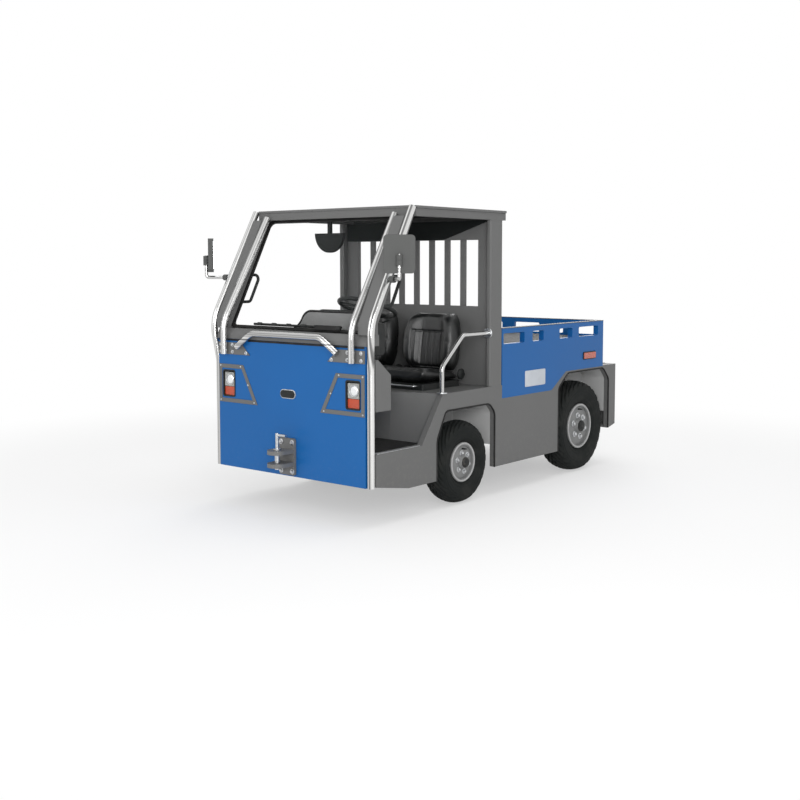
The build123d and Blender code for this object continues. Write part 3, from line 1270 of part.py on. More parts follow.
# Wheels: a tyre with round shoulders on a dished rim with its hub
WHEELS = (
    # name, axle x, radius, width, middle y, bead radius, bead half-width, hub bore, hub inner and outer reach
    ("front", FRONT_AXLE_X, F_TYRE_R, F_TYRE_W, F_TYRE_Y, 118.0, 54.0, SPINDLE_R, 26.0, 74.0),
    ("rear", REAR_AXLE_X, R_TYRE_R, R_TYRE_W, R_TYRE_Y, 156.0, 68.0, R_SPINDLE_R, -60.0, 84.0),
)
RIM_T = 9.0
RIM_LIP = 12.0
BEAD_RISE = 4.0
SHOULDER_W = 14.0
SHOULDER_H = 18.0
HUB_WALL = 22.0
DISC_BACK = 34.0
DISC_EDGE = 24.0
DISC_FACE = 14.0
DISC_FLAT = 46.0
HUB_CAP = 6.0
HUB_CAP_WALL = 14.0
for end_name, axle_x, tyre_r, tyre_w, tyre_y, bead_r, bead_w, bore_r, hub_in, hub_out in WHEELS:
    for side, hand in SIDES:
        wheel_plane = Plane(origin=(axle_x, side * tyre_y, tyre_r), x_dir=(0, side, 0), z_dir=(side, 0, 0))
        spin = Axis((axle_x, 0, tyre_r), (0, 1, 0))
        with BuildPart() as tyre:
            with BuildSketch(wheel_plane):
                shoulder_y = tyre_w / 2 - SHOULDER_W
                shoulder_r = tyre_r - SHOULDER_H
                flank_r = (bead_r + tyre_r) / 2
                foot_r = bead_r + RIM_LIP + BEAD_RISE
                with BuildLine():
                    Line((-bead_w, bead_r + SEAT_GAP), (-bead_w, foot_r))
                    ThreePointArc((-bead_w, foot_r), (-tyre_w / 2, flank_r), (-shoulder_y, shoulder_r))
                    ThreePointArc((-shoulder_y, shoulder_r), (0, tyre_r), (shoulder_y, shoulder_r))
                    ThreePointArc((shoulder_y, shoulder_r), (tyre_w / 2, flank_r), (bead_w, foot_r))
                    Line((bead_w, foot_r), (bead_w, bead_r + SEAT_GAP))
                    Line((bead_w, bead_r + SEAT_GAP), (-bead_w, bead_r + SEAT_GAP))
                make_face()
            revolve(axis=spin)
        save(tyre, f"{end_name}_tyre_{hand}")
        with BuildPart() as rim:
            with BuildSketch(wheel_plane):
                with BuildLine():
                    Polyline(
                        (-bead_w - SEAT_GAP - RIM_T, bead_r - RIM_T),
                        (-bead_w - SEAT_GAP - RIM_T, bead_r + RIM_LIP),
                        (-bead_w - SEAT_GAP, bead_r + RIM_LIP),
                        (-bead_w - SEAT_GAP, bead_r),
                        (bead_w + SEAT_GAP, bead_r),
                        (bead_w + SEAT_GAP, bead_r + RIM_LIP),
                        (bead_w + SEAT_GAP + RIM_T, bead_r + RIM_LIP),
                        (bead_w + SEAT_GAP + RIM_T, bead_r - RIM_T),
                        close=True,
                    )
                make_face()
                with BuildLine():
                    Polyline(
                        (hub_out - DISC_BACK, bore_r + HUB_FIT),
                        (hub_out - DISC_BACK, bead_r - RIM_T),
                        (hub_out - DISC_EDGE, bead_r - RIM_T),
                        (hub_out - DISC_FACE, bore_r + DISC_FLAT),
                        (hub_out - DISC_FACE, bore_r + HUB_WALL),
                        (hub_out + HUB_CAP, bore_r + HUB_CAP_WALL),
                        (hub_out + HUB_CAP, 0),
                        (hub_out, 0),
                        (hub_out, bore_r + HUB_FIT),
                        close=True,
                    )
                make_face()
                with BuildLine():
                    Polyline(
                        (hub_in, bore_r + HUB_FIT),
                        (hub_in, bore_r + HUB_WALL),
                        (hub_out - DISC_BACK, bore_r + HUB_WALL),
                        (hub_out - DISC_BACK, bore_r + HUB_FIT),
                        close=True,
                    )
                make_face()
            revolve(axis=spin)
        save(rim, f"{end_name}_rim_{hand}")
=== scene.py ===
# %% [markdown]
# Electric tow tractor
#
# The tractor is a four-wheel ride-on machine that pulls trains of trailers round a yard. Its solids come
# ready made as a fixed frame in metres, with +X forward, +Y to the driver's left and +Z up. This lesson
# gives every solid a finish, and adds what a workshop adds last: tread, upholstery, glass, bolts and trim.

# %% The frame that everything else is fitted to
import json
import math

import bmesh
import bpy
import numpy as np
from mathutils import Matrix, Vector


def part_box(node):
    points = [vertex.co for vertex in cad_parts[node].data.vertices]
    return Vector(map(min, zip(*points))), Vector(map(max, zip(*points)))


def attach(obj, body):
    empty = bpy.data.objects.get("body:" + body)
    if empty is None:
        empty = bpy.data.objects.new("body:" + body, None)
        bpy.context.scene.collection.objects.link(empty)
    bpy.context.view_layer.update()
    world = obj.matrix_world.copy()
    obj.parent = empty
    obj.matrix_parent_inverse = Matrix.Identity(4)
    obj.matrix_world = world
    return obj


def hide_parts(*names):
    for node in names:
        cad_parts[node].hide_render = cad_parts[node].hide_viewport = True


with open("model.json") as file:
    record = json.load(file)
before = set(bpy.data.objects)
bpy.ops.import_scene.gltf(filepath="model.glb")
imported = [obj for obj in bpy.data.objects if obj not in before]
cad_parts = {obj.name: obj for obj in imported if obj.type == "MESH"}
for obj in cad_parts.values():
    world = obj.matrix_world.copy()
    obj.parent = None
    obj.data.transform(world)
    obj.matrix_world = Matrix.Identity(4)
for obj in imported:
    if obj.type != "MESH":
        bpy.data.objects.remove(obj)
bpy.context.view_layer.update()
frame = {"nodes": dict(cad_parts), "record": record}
nodes = frame["nodes"]
for plain_colour in list(bpy.data.materials):
    bpy.data.materials.remove(plain_colour)

# %% [markdown]
# Camera
#
# The picture was taken from the left of the nose at about the height of a person's eyes. The camera could be
# placed by trial, but the straight edges of the tractor give its place, its turn and its lens directly.

# %% Camera at the photograph's viewpoint
EYE = Vector((6.2213, 4.8667, 1.5545))
EYE_YAW = math.radians(39.04)
EYE_PITCH = math.radians(4.594)
EYE_LENS = 49.64
EYE_SHIFT = (-0.0163, -0.0595)

scene = bpy.context.scene
scene.view_settings.view_transform = "Standard"
gaze = Vector((-math.cos(EYE_YAW) * math.cos(EYE_PITCH), -math.sin(EYE_YAW) * math.cos(EYE_PITCH),
               -math.sin(EYE_PITCH)))
camera = bpy.data.objects.new("camera", bpy.data.cameras.new("camera"))
camera.location = EYE
camera.rotation_mode = "QUATERNION"
camera.rotation_quaternion = gaze.to_track_quat("-Z", "Y")
camera.data.lens = EYE_LENS
camera.data.shift_x, camera.data.shift_y = EYE_SHIFT
scene.collection.objects.link(camera)
scene.camera = camera
print("camera", tuple(round(v, 3) for v in camera.location), "lens", EYE_LENS)

# %% [markdown]
# Shader arithmetic
#
# A finish is a formula over the surface: noise here, a stripe there, mixed by a mask. Node graphs hide that
# formula, so one small class wraps a socket and turns + - * < > into Math nodes. Any other node comes
# from its `node` method, which takes the node's kind, what goes into its sockets and its settings.


# %% A socket that does arithmetic
def arithmetic(operation, reflected=False):
    """An operator of Wire that adds one Math node; a reflected one has the wire on its right."""
    def operator(self, other):
        return self.maths(operation, other, self) if reflected else self.maths(operation, self, other)
    return operator


class Wire:
    """An output socket of one material. Arithmetic on it adds Math nodes to that material."""

    def __init__(self, tree, socket):
        self.tree = tree
        self.socket = socket

    def node(self, kind, inputs=None, settings=None, output=0):
        """A new ShaderNode of that kind; returns one of its outputs.

        `inputs` are values or wires for its sockets. A colour is red, green and blue, and is made opaque."""
        made = self.tree.nodes.new(f"ShaderNode{kind}")
        for key, value in (settings or {}).items():
            setattr(made, key, value)
        for key, value in (inputs or {}).items():
            socket = made.inputs[key]
            if isinstance(value, Wire):
                self.tree.links.new(value.socket, socket)
            else:
                socket.default_value = (*value, 1.0) if socket.type == "RGBA" else value
        return None if output is None else Wire(self.tree, made.outputs[output])

    def maths(self, operation, first, second=0.0):
        return self.node("Math", {0: first, 1: second}, {"operation": operation})

    __add__ = __radd__ = arithmetic("ADD")
    __mul__ = __rmul__ = arithmetic("MULTIPLY")
    __sub__ = arithmetic("SUBTRACT")
    __rsub__ = arithmetic("SUBTRACT", reflected=True)
    __gt__ = arithmetic("GREATER_THAN")
    __lt__ = arithmetic("LESS_THAN")


print("wires add, subtract, multiply and compare")

# %% Noise, steps, blends and the finished shader
finishes = {}


def surface(name):
    """Adds an empty material to the finishes; returns the wire of its object coordinates in metres."""
    made = bpy.data.materials.new(name)
    made.use_nodes = True
    tree = made.node_tree
    tree.nodes.clear()
    finishes[name] = made
    return Wire(tree, tree.nodes.new("ShaderNodeTexCoord").outputs["Object"])


def coordinate(where, axis):
    """One coordinate of a place in metres: 0, 1 or 2 for X, Y or Z."""
    return where.node("SeparateXYZ", {0: where}, output=axis)


def noise(where, scale, detail=2.0, rough=0.5):
    """Cloudy noise from 0 to 1 with about `scale` blobs in a metre."""
    return where.node("TexNoise", {"Vector": where, "Scale": scale, "Detail": detail, "Roughness": rough})


def step(value, low, high):
    """0 below `low`, 1 above `high` and smooth between."""
    return value.node("MapRange", {"Value": value, "From Min": low, "From Max": high},
                      {"interpolation_type": "SMOOTHSTEP"})


def blend_colour(factor, first, second):
    """The colour `first` where the factor is 0 and `second` where it is 1."""
    return factor.node("Mix", {0: factor, 6: first, 7: second}, {"data_type": "RGBA"}, output=2)


def shade(colour, gain):
    """A colour made lighter or darker."""
    return tuple(min(1.0, channel * gain) for channel in colour)


def raised(where, height, depth, edge=0.0):
    """Surface normal bumped by a height, `depth` metres deep, with edges rounded to `edge` metres."""
    inputs = {"Height": height, "Distance": depth, "Strength": 1.0}
    if edge:
        inputs["Normal"] = where.node("Bevel", {"Radius": edge}, {"samples": 4})
    return where.node("Bump", inputs)


def finish(where, colour, **sockets):
    """Ends a material in one Principled shader; `sockets` are its other inputs, as values or wires."""
    inputs = {"Base Color": colour}
    for name, value in sockets.items():
        inputs[name.replace("_", " ").title().replace("Ior", "IOR")] = value
    shader = where.node("BsdfPrincipled", inputs)
    where.node("OutputMaterial", {"Surface": shader}, output=None)


print("shader helpers ready")

# %% [markdown]
# Paints
#
# The tractor is sprayed in two colours: a blue gloss on the nose and the rear body, and a grey satin on the
# skirts, the posts and the roof. A single colour would look like plastic. Real paint drifts a little in shade
# over a panel, has a fine orange peel, and holds dust low down, so each of those is one term of the formula.
# The edges of the sheet are rounded in the normal, which is enough for radii of a few millimetres.

# %% One formula for all sprayed paint
BLUE = (0.0070, 0.1020, 0.3220)
GREY = (0.128, 0.129, 0.128)
SILVER = (0.195, 0.198, 0.198)
CHASSIS_BLACK = (0.018, 0.019, 0.019)
DUST = (0.30, 0.28, 0.25)
DUST_TOP = 0.75
SHEET_EDGE = 0.004


def paint(name, colour, rough, coat, peel, dusty):
    """Sprayed paint: shade drift + dust that thickens towards the ground, over an orange peel `peel` deep."""
    where = surface(name)
    drift = noise(where, 2.2, 3.0)
    height = coordinate(where, 2)
    low_down = 1.0 - step(height, 0.05, DUST_TOP)
    speckle = step(noise(where, 38.0, 6.0, 0.65), 0.48, 0.72)
    dust = speckle * low_down * dusty
    tone = blend_colour(drift, shade(colour, 0.93), shade(colour, 1.07))
    orange = noise(where, 420.0, 2.0) * 0.6 + noise(where, 60.0, 2.0) * 0.4
    finish(where, blend_colour(dust, tone, DUST),
           roughness=rough + dust * 0.3 + (drift - 0.5) * 0.08, coat_weight=coat, coat_roughness=0.12,
           specular_ior_level=0.20, normal=raised(where, orange, peel, SHEET_EDGE))


PAINTS = {
    # finish: colour, roughness, clear coat, depth of the peel in metres, share of dust
    "blue_paint": (BLUE, 0.34, 0.04, 0.0002, 0.04),
    "grey_paint": (GREY, 0.46, 0.05, 0.0003, 0.14),
    "rim_silver": (SILVER, 0.40, 0.10, 0.0003, 0.22),
    # rolled rim lip: lighter grey, a painted highlight
    "rim_bright": ((0.40, 0.40, 0.40), 0.35, 0.20, 0.0003, 0.10),
    # wheel wells: a grey far lighter than the body's grey, painted light in the shaded wells
    "well_grey": ((0.400, 0.402, 0.400), 0.55, 0.0, 0.0004, 0.20),
    "black_steel": (CHASSIS_BLACK, 0.55, 0.0, 0.0004, 0.30),
}
for name, values in PAINTS.items():
    paint(name, *values)
print("paints", sorted(finishes))

# %% [markdown]
# Bare metals
#
# The corner tubes, the guard tube and the hip rails are polished steel, with painted reflections: light and
# dark streaks in the colour that run along each tube, noise that changes only across the tube and that also
# varies the roughness and bump a little. Couplings are castings under thin paint, and pins and bolts are zinc
# plated, with the crystal flakes that zinc shows.


# %% Polished tube, casting and zinc
GUARD_END = 0.475
ARM_START = 0.702
# dark and light of the painted reflections streaked along the polished tubes
PAINTED_REFLECTION_DARK, PAINTED_REFLECTION_LIGHT = (0.20, 0.20, 0.20), (0.80, 0.80, 0.79)
BARE_IRON = (0.33, 0.31, 0.29)
ZINC_DARK, ZINC_LIGHT = (0.42, 0.43, 0.44), (0.62, 0.63, 0.64)


def polished_tube():
    """Polished steel with painted reflections: streaks of light and dark in its colour run along each tube.

    A streak is noise over one direction only: over Y for the tubes that lie in an upright plane, and over the
    height for the guard tube and the mirror arms, which run across."""
    where = surface("bright_tube")
    across = coordinate(where, 1)
    height = coordinate(where, 2)
    off_middle = where.maths("ABSOLUTE", across)
    crosswise = where.maths("MAXIMUM", GUARD_END > off_middle, off_middle > ARM_START)
    place = across * (1.0 - crosswise) + height * crosswise
    line = where.node("CombineXYZ", {0: place})
    streak = step(noise(line, 85.0, 2.0), 0.36, 0.64)
    smear = noise(where, 9.0, 4.0)
    # the colour's streaks are painted reflections; roughness and bump vary with them too
    finish(where, blend_colour(streak, PAINTED_REFLECTION_DARK, PAINTED_REFLECTION_LIGHT), metallic=1.0,
           roughness=0.16 + streak * 0.06 + smear * 0.08, normal=raised(where, streak, 0.00006))


def casting():
    """Sand-cast iron under grey paint: coarse grain, and bare metal where the noise is highest."""
    where = surface("cast_grey")
    grain = noise(where, 130.0, 5.0, 0.7)
    chip = step(noise(where, 26.0, 5.0, 0.6), 0.60, 0.68)
    tone = blend_colour(noise(where, 7.0), shade(GREY, 0.85), shade(GREY, 1.25))
    finish(where, blend_colour(chip, tone, BARE_IRON), metallic=chip * 0.8,
           roughness=0.55 - chip * 0.15, normal=raised(where, grain, 0.0012, SHEET_EDGE))


def zinc():
    """Zinc plate: each crystal flake of a cell pattern takes its own shade and gloss."""
    where = surface("zinc_steel")
    flake = where.node("TexVoronoi", {"Vector": where, "Scale": 160.0}, output=1)
    tint = where.node("SeparateColor", {0: flake})
    finish(where, blend_colour(tint, ZINC_DARK, ZINC_LIGHT), metallic=1.0,
           roughness=0.28 + tint * 0.16, normal=raised(where, noise(where, 300.0), 0.0001, 0.002))


polished_tube()
casting()
zinc()
print("metals added,", len(finishes), "finishes so far")

# %% [markdown]
# Mouldings, rubber and upholstery
#
# Plastic mouldings carry a leather-like grain so that scuffs don't show: cells of a Voronoi pattern make it.
# Tyre rubber and seat vinyl take the same formula with a finer grain, the rubber duller and the vinyl glossier.


# %% Grained black plastics, rubbers, vinyl and floor plate
DECK_PITCH = math.pi / 0.030
# inside the cab the mirror case's colour is painted shade: nearly black where the roof shades it
CASE_PAINTED_SHADE, CASE_OUTSIDE = (0.006, 0.007, 0.007), (0.086, 0.088, 0.086)
CAB_SIDE = 0.5


def grain_cells(where, scale):
    """Height of a leather grain: soft distance to the nearest cell middle, `scale` cells in a metre."""
    return where.node("TexVoronoi", {"Vector": where, "Scale": scale}, {"feature": "SMOOTH_F1"})


def grained(name, colour, rough, grain, depth, dusty, gloss):
    """Moulded surface: cell distance makes the grain, `grain` cells in a metre and `depth` metres deep."""
    where = surface(name)
    cell = grain_cells(where, grain)
    wear = noise(where, 11.0, 5.0, 0.6)
    film = step(wear, 0.42, 0.8) * dusty
    tone = blend_colour(wear, shade(colour, 0.8), shade(colour, 1.25))
    finish(where, blend_colour(film, tone, DUST), roughness=rough + (wear - 0.5) * 0.16 + film * 0.2,
           specular_ior_level=gloss, normal=raised(where, cell, depth, 0.002))


MOULDINGS = {
    # finish: colour, roughness, grain cells in a metre, depth in metres, share of dust, gloss
    "black_plastic": ((0.012, 0.0135, 0.0135), 0.48, 520.0, 0.0005, 0.05, 0.22),
    "grey_moulding": ((0.185, 0.187, 0.186), 0.52, 420.0, 0.0006, 0.05, 0.22),
    "rubber_seal": ((0.010, 0.010, 0.010), 0.60, 900.0, 0.0002, 0.05, 0.20),
    "tyre": ((0.0105, 0.0122, 0.0118), 0.72, 700.0, 0.0003, 0.04, 0.12),
    "black_vinyl": ((0.0045, 0.0052, 0.0052), 0.34, 780.0, 0.0005, 0.01, 0.62),
    # near-black felt of the headliner, also worn by the black sheet that paints the roof's shadow on the rear
    # wall
    "headliner_felt": ((0.0120, 0.0140, 0.0140), 0.85, 1500.0, 0.0008, 0.0, 0.10),
    "pale_plate": ((0.48, 0.51, 0.55), 0.45, 1200.0, 0.0001, 0.03, 0.25),
}
for name, values in MOULDINGS.items():
    grained(name, *values)


def mirror_case():
    """One moulding for all mirrors: grey outside the cab, and nearly black inside it, close to the middle,
    where the black is painted shade under the roof.
    """
    where = surface("mirror_case")
    across = coordinate(where, 1)
    outside = where.maths("ABSOLUTE", across) > CAB_SIDE
    cell = grain_cells(where, 520.0)
    # the nearly black inside the cab is painted shade
    finish(where, blend_colour(outside, CASE_PAINTED_SHADE, CASE_OUTSIDE), roughness=0.50,
           specular_ior_level=0.15, normal=raised(where, cell, 0.0004, 0.006))


def deck_plate():
    """Rolled floor plate: round raised studs on a diagonal grid, from the product of two crossed sine waves."""
    where = surface("deck_plate")
    x = coordinate(where, 0)
    y = coordinate(where, 1)
    cells = [where.maths("SINE", (x + y) * DECK_PITCH), where.maths("SINE", (x - y) * DECK_PITCH)]
    bars = step(cells[0] * cells[0] * (1.0 - cells[1] * cells[1]), 0.55, 0.72)
    worn = noise(where, 3.0, 4.0)
    finish(where, blend_colour(worn, shade(GREY, 0.62), shade(GREY, 0.86)), roughness=0.72 - bars * 0.12,
           specular_ior_level=0.15, normal=raised(where, bars, 0.002))


mirror_case()
deck_plate()
print("mouldings added,", len(finishes), "finishes so far")

# %% [markdown]
# Glass and lenses
#
# The windscreen is flat laminated glass, seen straight through, so it is a nearly clear skin with a trace of
# smears. Lamp lenses are pressed with upright flutes that spread the light: a sine along the lens makes them.


# %% Windscreen, mirrors and fluted lenses
FLUTES = 2.0 * math.pi / 0.008


def clear_glass():
    """A clear pane: only a small share of it is opaque, a little more where hands have smeared it."""
    where = surface("glass")
    smear = step(noise(where, 5.0, 4.0), 0.45, 0.8)
    finish(where, (0.80, 0.88, 0.88), roughness=0.03 + smear * 0.05, alpha=0.004 + smear * 0.004,
           specular_ior_level=0.2)


def fluted(name, colour, alpha):
    """A pressed lens: flutes are the sine of the place along X plus that along Y."""
    where = surface(name)
    ahead = coordinate(where, 0)
    across = coordinate(where, 1)
    wave = where.maths("SINE", (ahead + across) * FLUTES)
    deep = noise(where, 40.0)
    finish(where, blend_colour(deep, shade(colour, 0.85), shade(colour, 1.1)), roughness=0.10,
           alpha=alpha, coat_weight=0.6, normal=raised(where, wave * 0.5 + 0.5, 0.0012))


def silvering():
    """Mirror glass: bright metal with the faintest unevenness."""
    where = surface("mirror")
    wave = noise(where, 6.0)
    finish(where, blend_colour(wave, (0.82, 0.84, 0.85), (0.88, 0.90, 0.91)), metallic=1.0,
           roughness=0.02 + wave * 0.02)


clear_glass()
silvering()
fluted("clear_lens", (0.78, 0.79, 0.76), 0.45)
fluted("amber_lens", (0.47, 0.050, 0.008), 1.0)
fluted("red_lens", (0.42, 0.018, 0.014), 1.0)
print("glass and lenses added,", len(finishes), "finishes in all")

# %% [markdown]
# Finishes on the solids
#
# The record says which slot each solid takes its finish from, so the solids are dressed from it. A few take
# a finish of their own, because the record's slots are broader than what can be seen.

# %% Dress every solid
OWN_FINISH = {
    "headliner": "headliner_felt",
    "tail_lamps": "black_plastic",
    "mirror_housings": "mirror_case",
    "load_deck": "deck_plate",
    # lighter grey that paints light into the shaded wheel wells
    "wheel_wells": "well_grey",
}
slots = {part["node"]: part["material_slot"] for part in frame["record"]["subparts"]}
for name, solid in nodes.items():
    solid.data.materials.clear()
    solid.data.materials.append(finishes[OWN_FINISH.get(name, slots[name])])
print("dressed", len(nodes), "solids")

# %% [markdown]
# Shapes from rings
#
# Nearly every piece that follows is a stack of closed rings: a tyre is a ring of points turned round an axle,
# a bolt is a hexagon drawn along its length, a tube is a circle carried along a path. So one function skins a
# grid of points, and another makes an object from several such skins at once.


# %% Skin a grid of points and make an object of it
SHARP = math.radians(38.0)
TURN = 2.0 * math.pi


def round_turn(count):
    """Angles evenly round one turn."""
    return np.linspace(0.0, TURN, count, endpoint=False)


def skin(rings, caps=False, closed=False):
    """Points and faces over rings[row, column]: quads round each ring and from ring to ring.

    `caps` closes each end with one face, and `closed` joins the last ring to the first."""
    rows, columns = rings.shape[:2]
    index = np.arange(rows * columns).reshape(rows, columns)
    lower = index if closed else index[:-1]
    upper = np.roll(index, -1, axis=0) if closed else index[1:]
    quads = np.stack([lower, np.roll(lower, -1, axis=1), np.roll(upper, -1, axis=1), upper], axis=-1)
    faces = quads.reshape(-1, 4).tolist()
    if caps:
        faces += [index[0, ::-1].tolist(), index[-1].tolist()]
    return rings.reshape(-1, 3), faces


def new_mesh(name, shapes):
    """A mesh of several shapes, doubles merged and faces turned outwards."""
    starts = np.cumsum([0] + [len(points) for points, _ in shapes])
    faces = [[corner + int(start) for corner in face]
             for start, (_, part) in zip(starts, shapes) for face in part]
    mesh = bpy.data.meshes.new(name)
    mesh.from_pydata(np.concatenate([points for points, _ in shapes]).tolist(), [], faces)
    tidy = bmesh.new()
    tidy.from_mesh(mesh)
    bmesh.ops.remove_doubles(tidy, verts=tidy.verts, dist=1e-6)
    bmesh.ops.recalc_face_normals(tidy, faces=tidy.faces)
    tidy.to_mesh(mesh)
    tidy.free()
    mesh.shade_smooth()
    mesh.set_sharp_from_angle(angle=SHARP)
    return mesh


def dressed(name, body, look, mesh):
    """An object of one mesh, riding on a body and wearing a finish."""
    made = bpy.data.objects.new(name, mesh)
    mesh.materials.append(finishes[look])
    scene.collection.objects.link(made)
    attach(made, body)
    print(name, len(mesh.polygons), "faces on", body)
    return made


print("one function makes every object")


# %% Pieces, strips, turned rings and arcs
def piece(name, body, look, *shapes):
    """One object from several shapes."""
    return dressed(name, body, look, new_mesh(name, shapes))


def trim(name, look, *shapes):
    """One object from several shapes on the tractor itself."""
    return piece(name, "tractor", look, *shapes)


def strip(station, along, sides, low, high):
    """A strip with a four-cornered section at each station along axis 0 or 1.

    `sides` are its two places across, `low` and `high` its lower and upper faces, as numbers or arrays."""
    rings = np.empty((len(station), 4, 3))
    rings[..., along] = station[:, None]
    rings[..., 1 - along] = np.array([sides[0], sides[1], sides[1], sides[0]])
    rings[:, :2, 2] = np.reshape(low, (-1, 1))
    rings[:, 2:, 2] = np.reshape(high, (-1, 1))
    return skin(rings, caps=True)


def turned(profile, count, centre, side=1.0):
    """Rings of a profile (reach along the axle, radius) turned round an axle along Y through `centre`."""
    angle = round_turn(count)
    reach, radius = np.asarray(profile, float).T
    rings = np.empty((len(reach), count, 3))
    rings[..., 0] = centre[0] + radius[:, None] * np.cos(angle)
    rings[..., 1] = centre[1] + side * reach[:, None]
    rings[..., 2] = centre[2] + radius[:, None] * np.sin(angle)
    return rings


def arc(first, middle, last, count):
    """Points of the arc through three points in a plane; its centre solves two perpendicular bisectors."""
    first, middle, last = (np.asarray(point, float) for point in (first, middle, last))
    sides = np.array([middle - first, last - middle])
    centre = np.linalg.solve(sides, (sides * [(first + middle) / 2, (middle + last) / 2]).sum(axis=1))
    start, through, stop = (math.atan2(*(point - centre)[::-1]) for point in (first, middle, last))
    turn = (stop - start) % TURN
    if (through - start) % TURN > turn:
        turn -= TURN
    angle = start + np.linspace(0.0, turn, count)
    return centre + np.linalg.norm(first - centre) * np.stack([np.cos(angle), np.sin(angle)], axis=1)


def smooth_step(value, low, high):
    """0 below `low`, 1 above `high` and smooth between, on arrays."""
    share = np.clip((value - low) / (high - low), 0.0, 1.0)
    return share * share * (3.0 - 2.0 * share)


print("shape helpers ready")

# %% [markdown]
# Small hardware
#
# What a fitter adds last is mostly of four kinds: something turned about an axis, a bent rod, a plate with
# round corners, and a bolt. Each could be modelled on its own, but one function for a kind, set in any
# direction, keeps the pieces short: a list of places is then enough.


# %% Turned parts and rods in any direction
def square_to(direction):
    """A direction and two more, all of unit length and square to each other; the last points up if it can."""
    direction = np.asarray(direction, float) / np.linalg.norm(direction)
    helper = np.array([0.0, 0.0, 1.0]) if abs(direction[2]) < 0.9 else np.array([1.0, 0.0, 0.0])
    first = np.cross(helper, direction)
    first /= np.linalg.norm(first)
    return direction, first, np.cross(direction, first)


def leaning(angle):
    """Forward and up, both leaning back by an angle."""
    return np.array([[math.cos(angle), 0.0, math.sin(angle)], [-math.sin(angle), 0.0, math.cos(angle)]])


def lathe(profile, base, direction, count, flats=0, ring=False):
    """A profile (reach, radius) turned about `direction` from `base`.

    `flats` turns the circle into a polygon: radius x cos(half a flat) / cos(angle from the flat's middle).
    `ring` joins the profile's end to its start instead of capping it."""
    axis, first, second = square_to(direction)
    angle = round_turn(count)
    half = math.pi / flats if flats else 0.0
    corner = math.cos(half) / np.cos((angle + half) % (2.0 * half) - half) if flats else np.ones(count)
    circle = (corner * np.cos(angle))[:, None] * first + (corner * np.sin(angle))[:, None] * second
    reach, radius = np.asarray(profile, float).T
    rings = np.asarray(base) + reach[:, None, None] * axis + radius[:, None, None] * circle
    return skin(rings, caps=not ring, closed=ring)


def bent(corners, bend, steps=8):
    """A path through corners, each rounded by (1-t)^2 a + 2t(1-t) c + t^2 b over the length `bend`."""
    corners = np.asarray(corners, float)
    along = corners[1:] - corners[:-1]
    along /= np.linalg.norm(along, axis=1, keepdims=True)
    before, after = corners[1:-1] - bend * along[:-1], corners[1:-1] + bend * along[1:]
    share = np.linspace(0.0, 1.0, steps)[None, :, None]
    round_ = ((1 - share) ** 2 * before[:, None] + 2 * share * (1 - share) * corners[1:-1, None]
              + share ** 2 * after[:, None])
    return np.concatenate([corners[:1], round_.reshape(-1, 3), corners[-1:]])


def rod(path, radius, square, count=14):
    """A round rod along a path that lies in a plane; `square` is the direction square to that plane."""
    path, square = np.asarray(path, float), np.asarray(square, float)
    ahead = np.gradient(path, axis=0)
    ahead /= np.linalg.norm(ahead, axis=1, keepdims=True)
    out = np.cross(ahead, square)
    angle = round_turn(count)[None, :, None]
    rings = path[:, None] + radius * (np.cos(angle) * out[:, None] + np.sin(angle) * square)
    return skin(rings, caps=True)


print("turned parts and rods ready")


# %% Plates, bolts and lists of places
def outline(width, height, corner):
    """A rectangle with round corners as points in its own plane: four quarter circles in turn."""
    angle = (np.arange(4)[:, None] * 0.5 + np.linspace(0.0, 0.5, 7)) * math.pi
    middle = np.array([[1, 1], [-1, 1], [-1, -1], [1, -1]]) * [width / 2 - corner, height / 2 - corner]
    return (middle[:, None] + corner * np.stack([np.cos(angle), np.sin(angle)], axis=-1)).reshape(-1, 2)


def plate(centre, normal, width, height, thick, corner=0.006, bevel=0.0015):
    """A plate `thick` out of a face, its outer edge bevelled; width runs level and height up the face."""
    axis, first, second = square_to(normal)
    rows = [(0.0, 0.0), (thick - bevel, 0.0), (thick - 0.3 * bevel, 0.3 * bevel), (thick, bevel)]
    flat = np.stack([outline(width - 2 * inset, height - 2 * inset, corner - inset) for _, inset in rows])
    reach = np.array([at for at, _ in rows])[:, None, None]
    rings = np.asarray(centre) + reach * axis + flat[..., :1] * first + flat[..., 1:] * second
    return skin(rings, caps=True)


def plates(places, *size):
    """The same plate at many places, as one list of shapes."""
    return [plate(place, *size) for place in places]


def lathes(profile, places, direction, count, ring=False):
    """The same turned part at many places, as one list of shapes."""
    return [lathe(profile, place, direction, count, ring=ring) for place in places]


def bolt(base, direction, flats):
    """A hex bolt head on its washer, `flats` across: two turned shapes."""
    washer = [(0.0, 0.95), (0.12, 0.95), (0.16, 0.88)]
    head = [(0.16, 0.577), (0.60, 0.577), (0.70, 0.50)]
    return [lathe(np.array(washer) * flats, base, direction, 24),
            lathe(np.array(head) * flats, base, direction, 24, flats=6)]


def bolts(places, direction, flats):
    """Bolt heads at many places, as one list of shapes."""
    return [shape for place in places for shape in bolt(place, direction, flats)]


def both(*places):
    """Every place, and its mirror image on the tractor's other side."""
    return [(x, side * y, z) for x, y, z in places for side in (1.0, -1.0)]


def dome(radius, height):
    """Profile of a shallow dome: radius x cos, height x sin over a quarter turn."""
    angle = np.linspace(0.0, math.pi / 2, 7)
    return np.stack([height * np.sin(angle), radius * np.cos(angle)], axis=1)


def small_circle(reach, radius, thick, angle):
    """Profile of a torus: a circle of radius `thick` round the point (reach, radius)."""
    return np.stack([reach + thick * np.cos(angle), radius + thick * np.sin(angle)], axis=1)


UP, FORWARD, BACK, LEFT, RIGHT = np.array([(0, 0, 1), (1, 0, 0), (-1, 0, 0), (0, 1, 0), (0, -1, 0)], float)
print("hardware helpers ready")

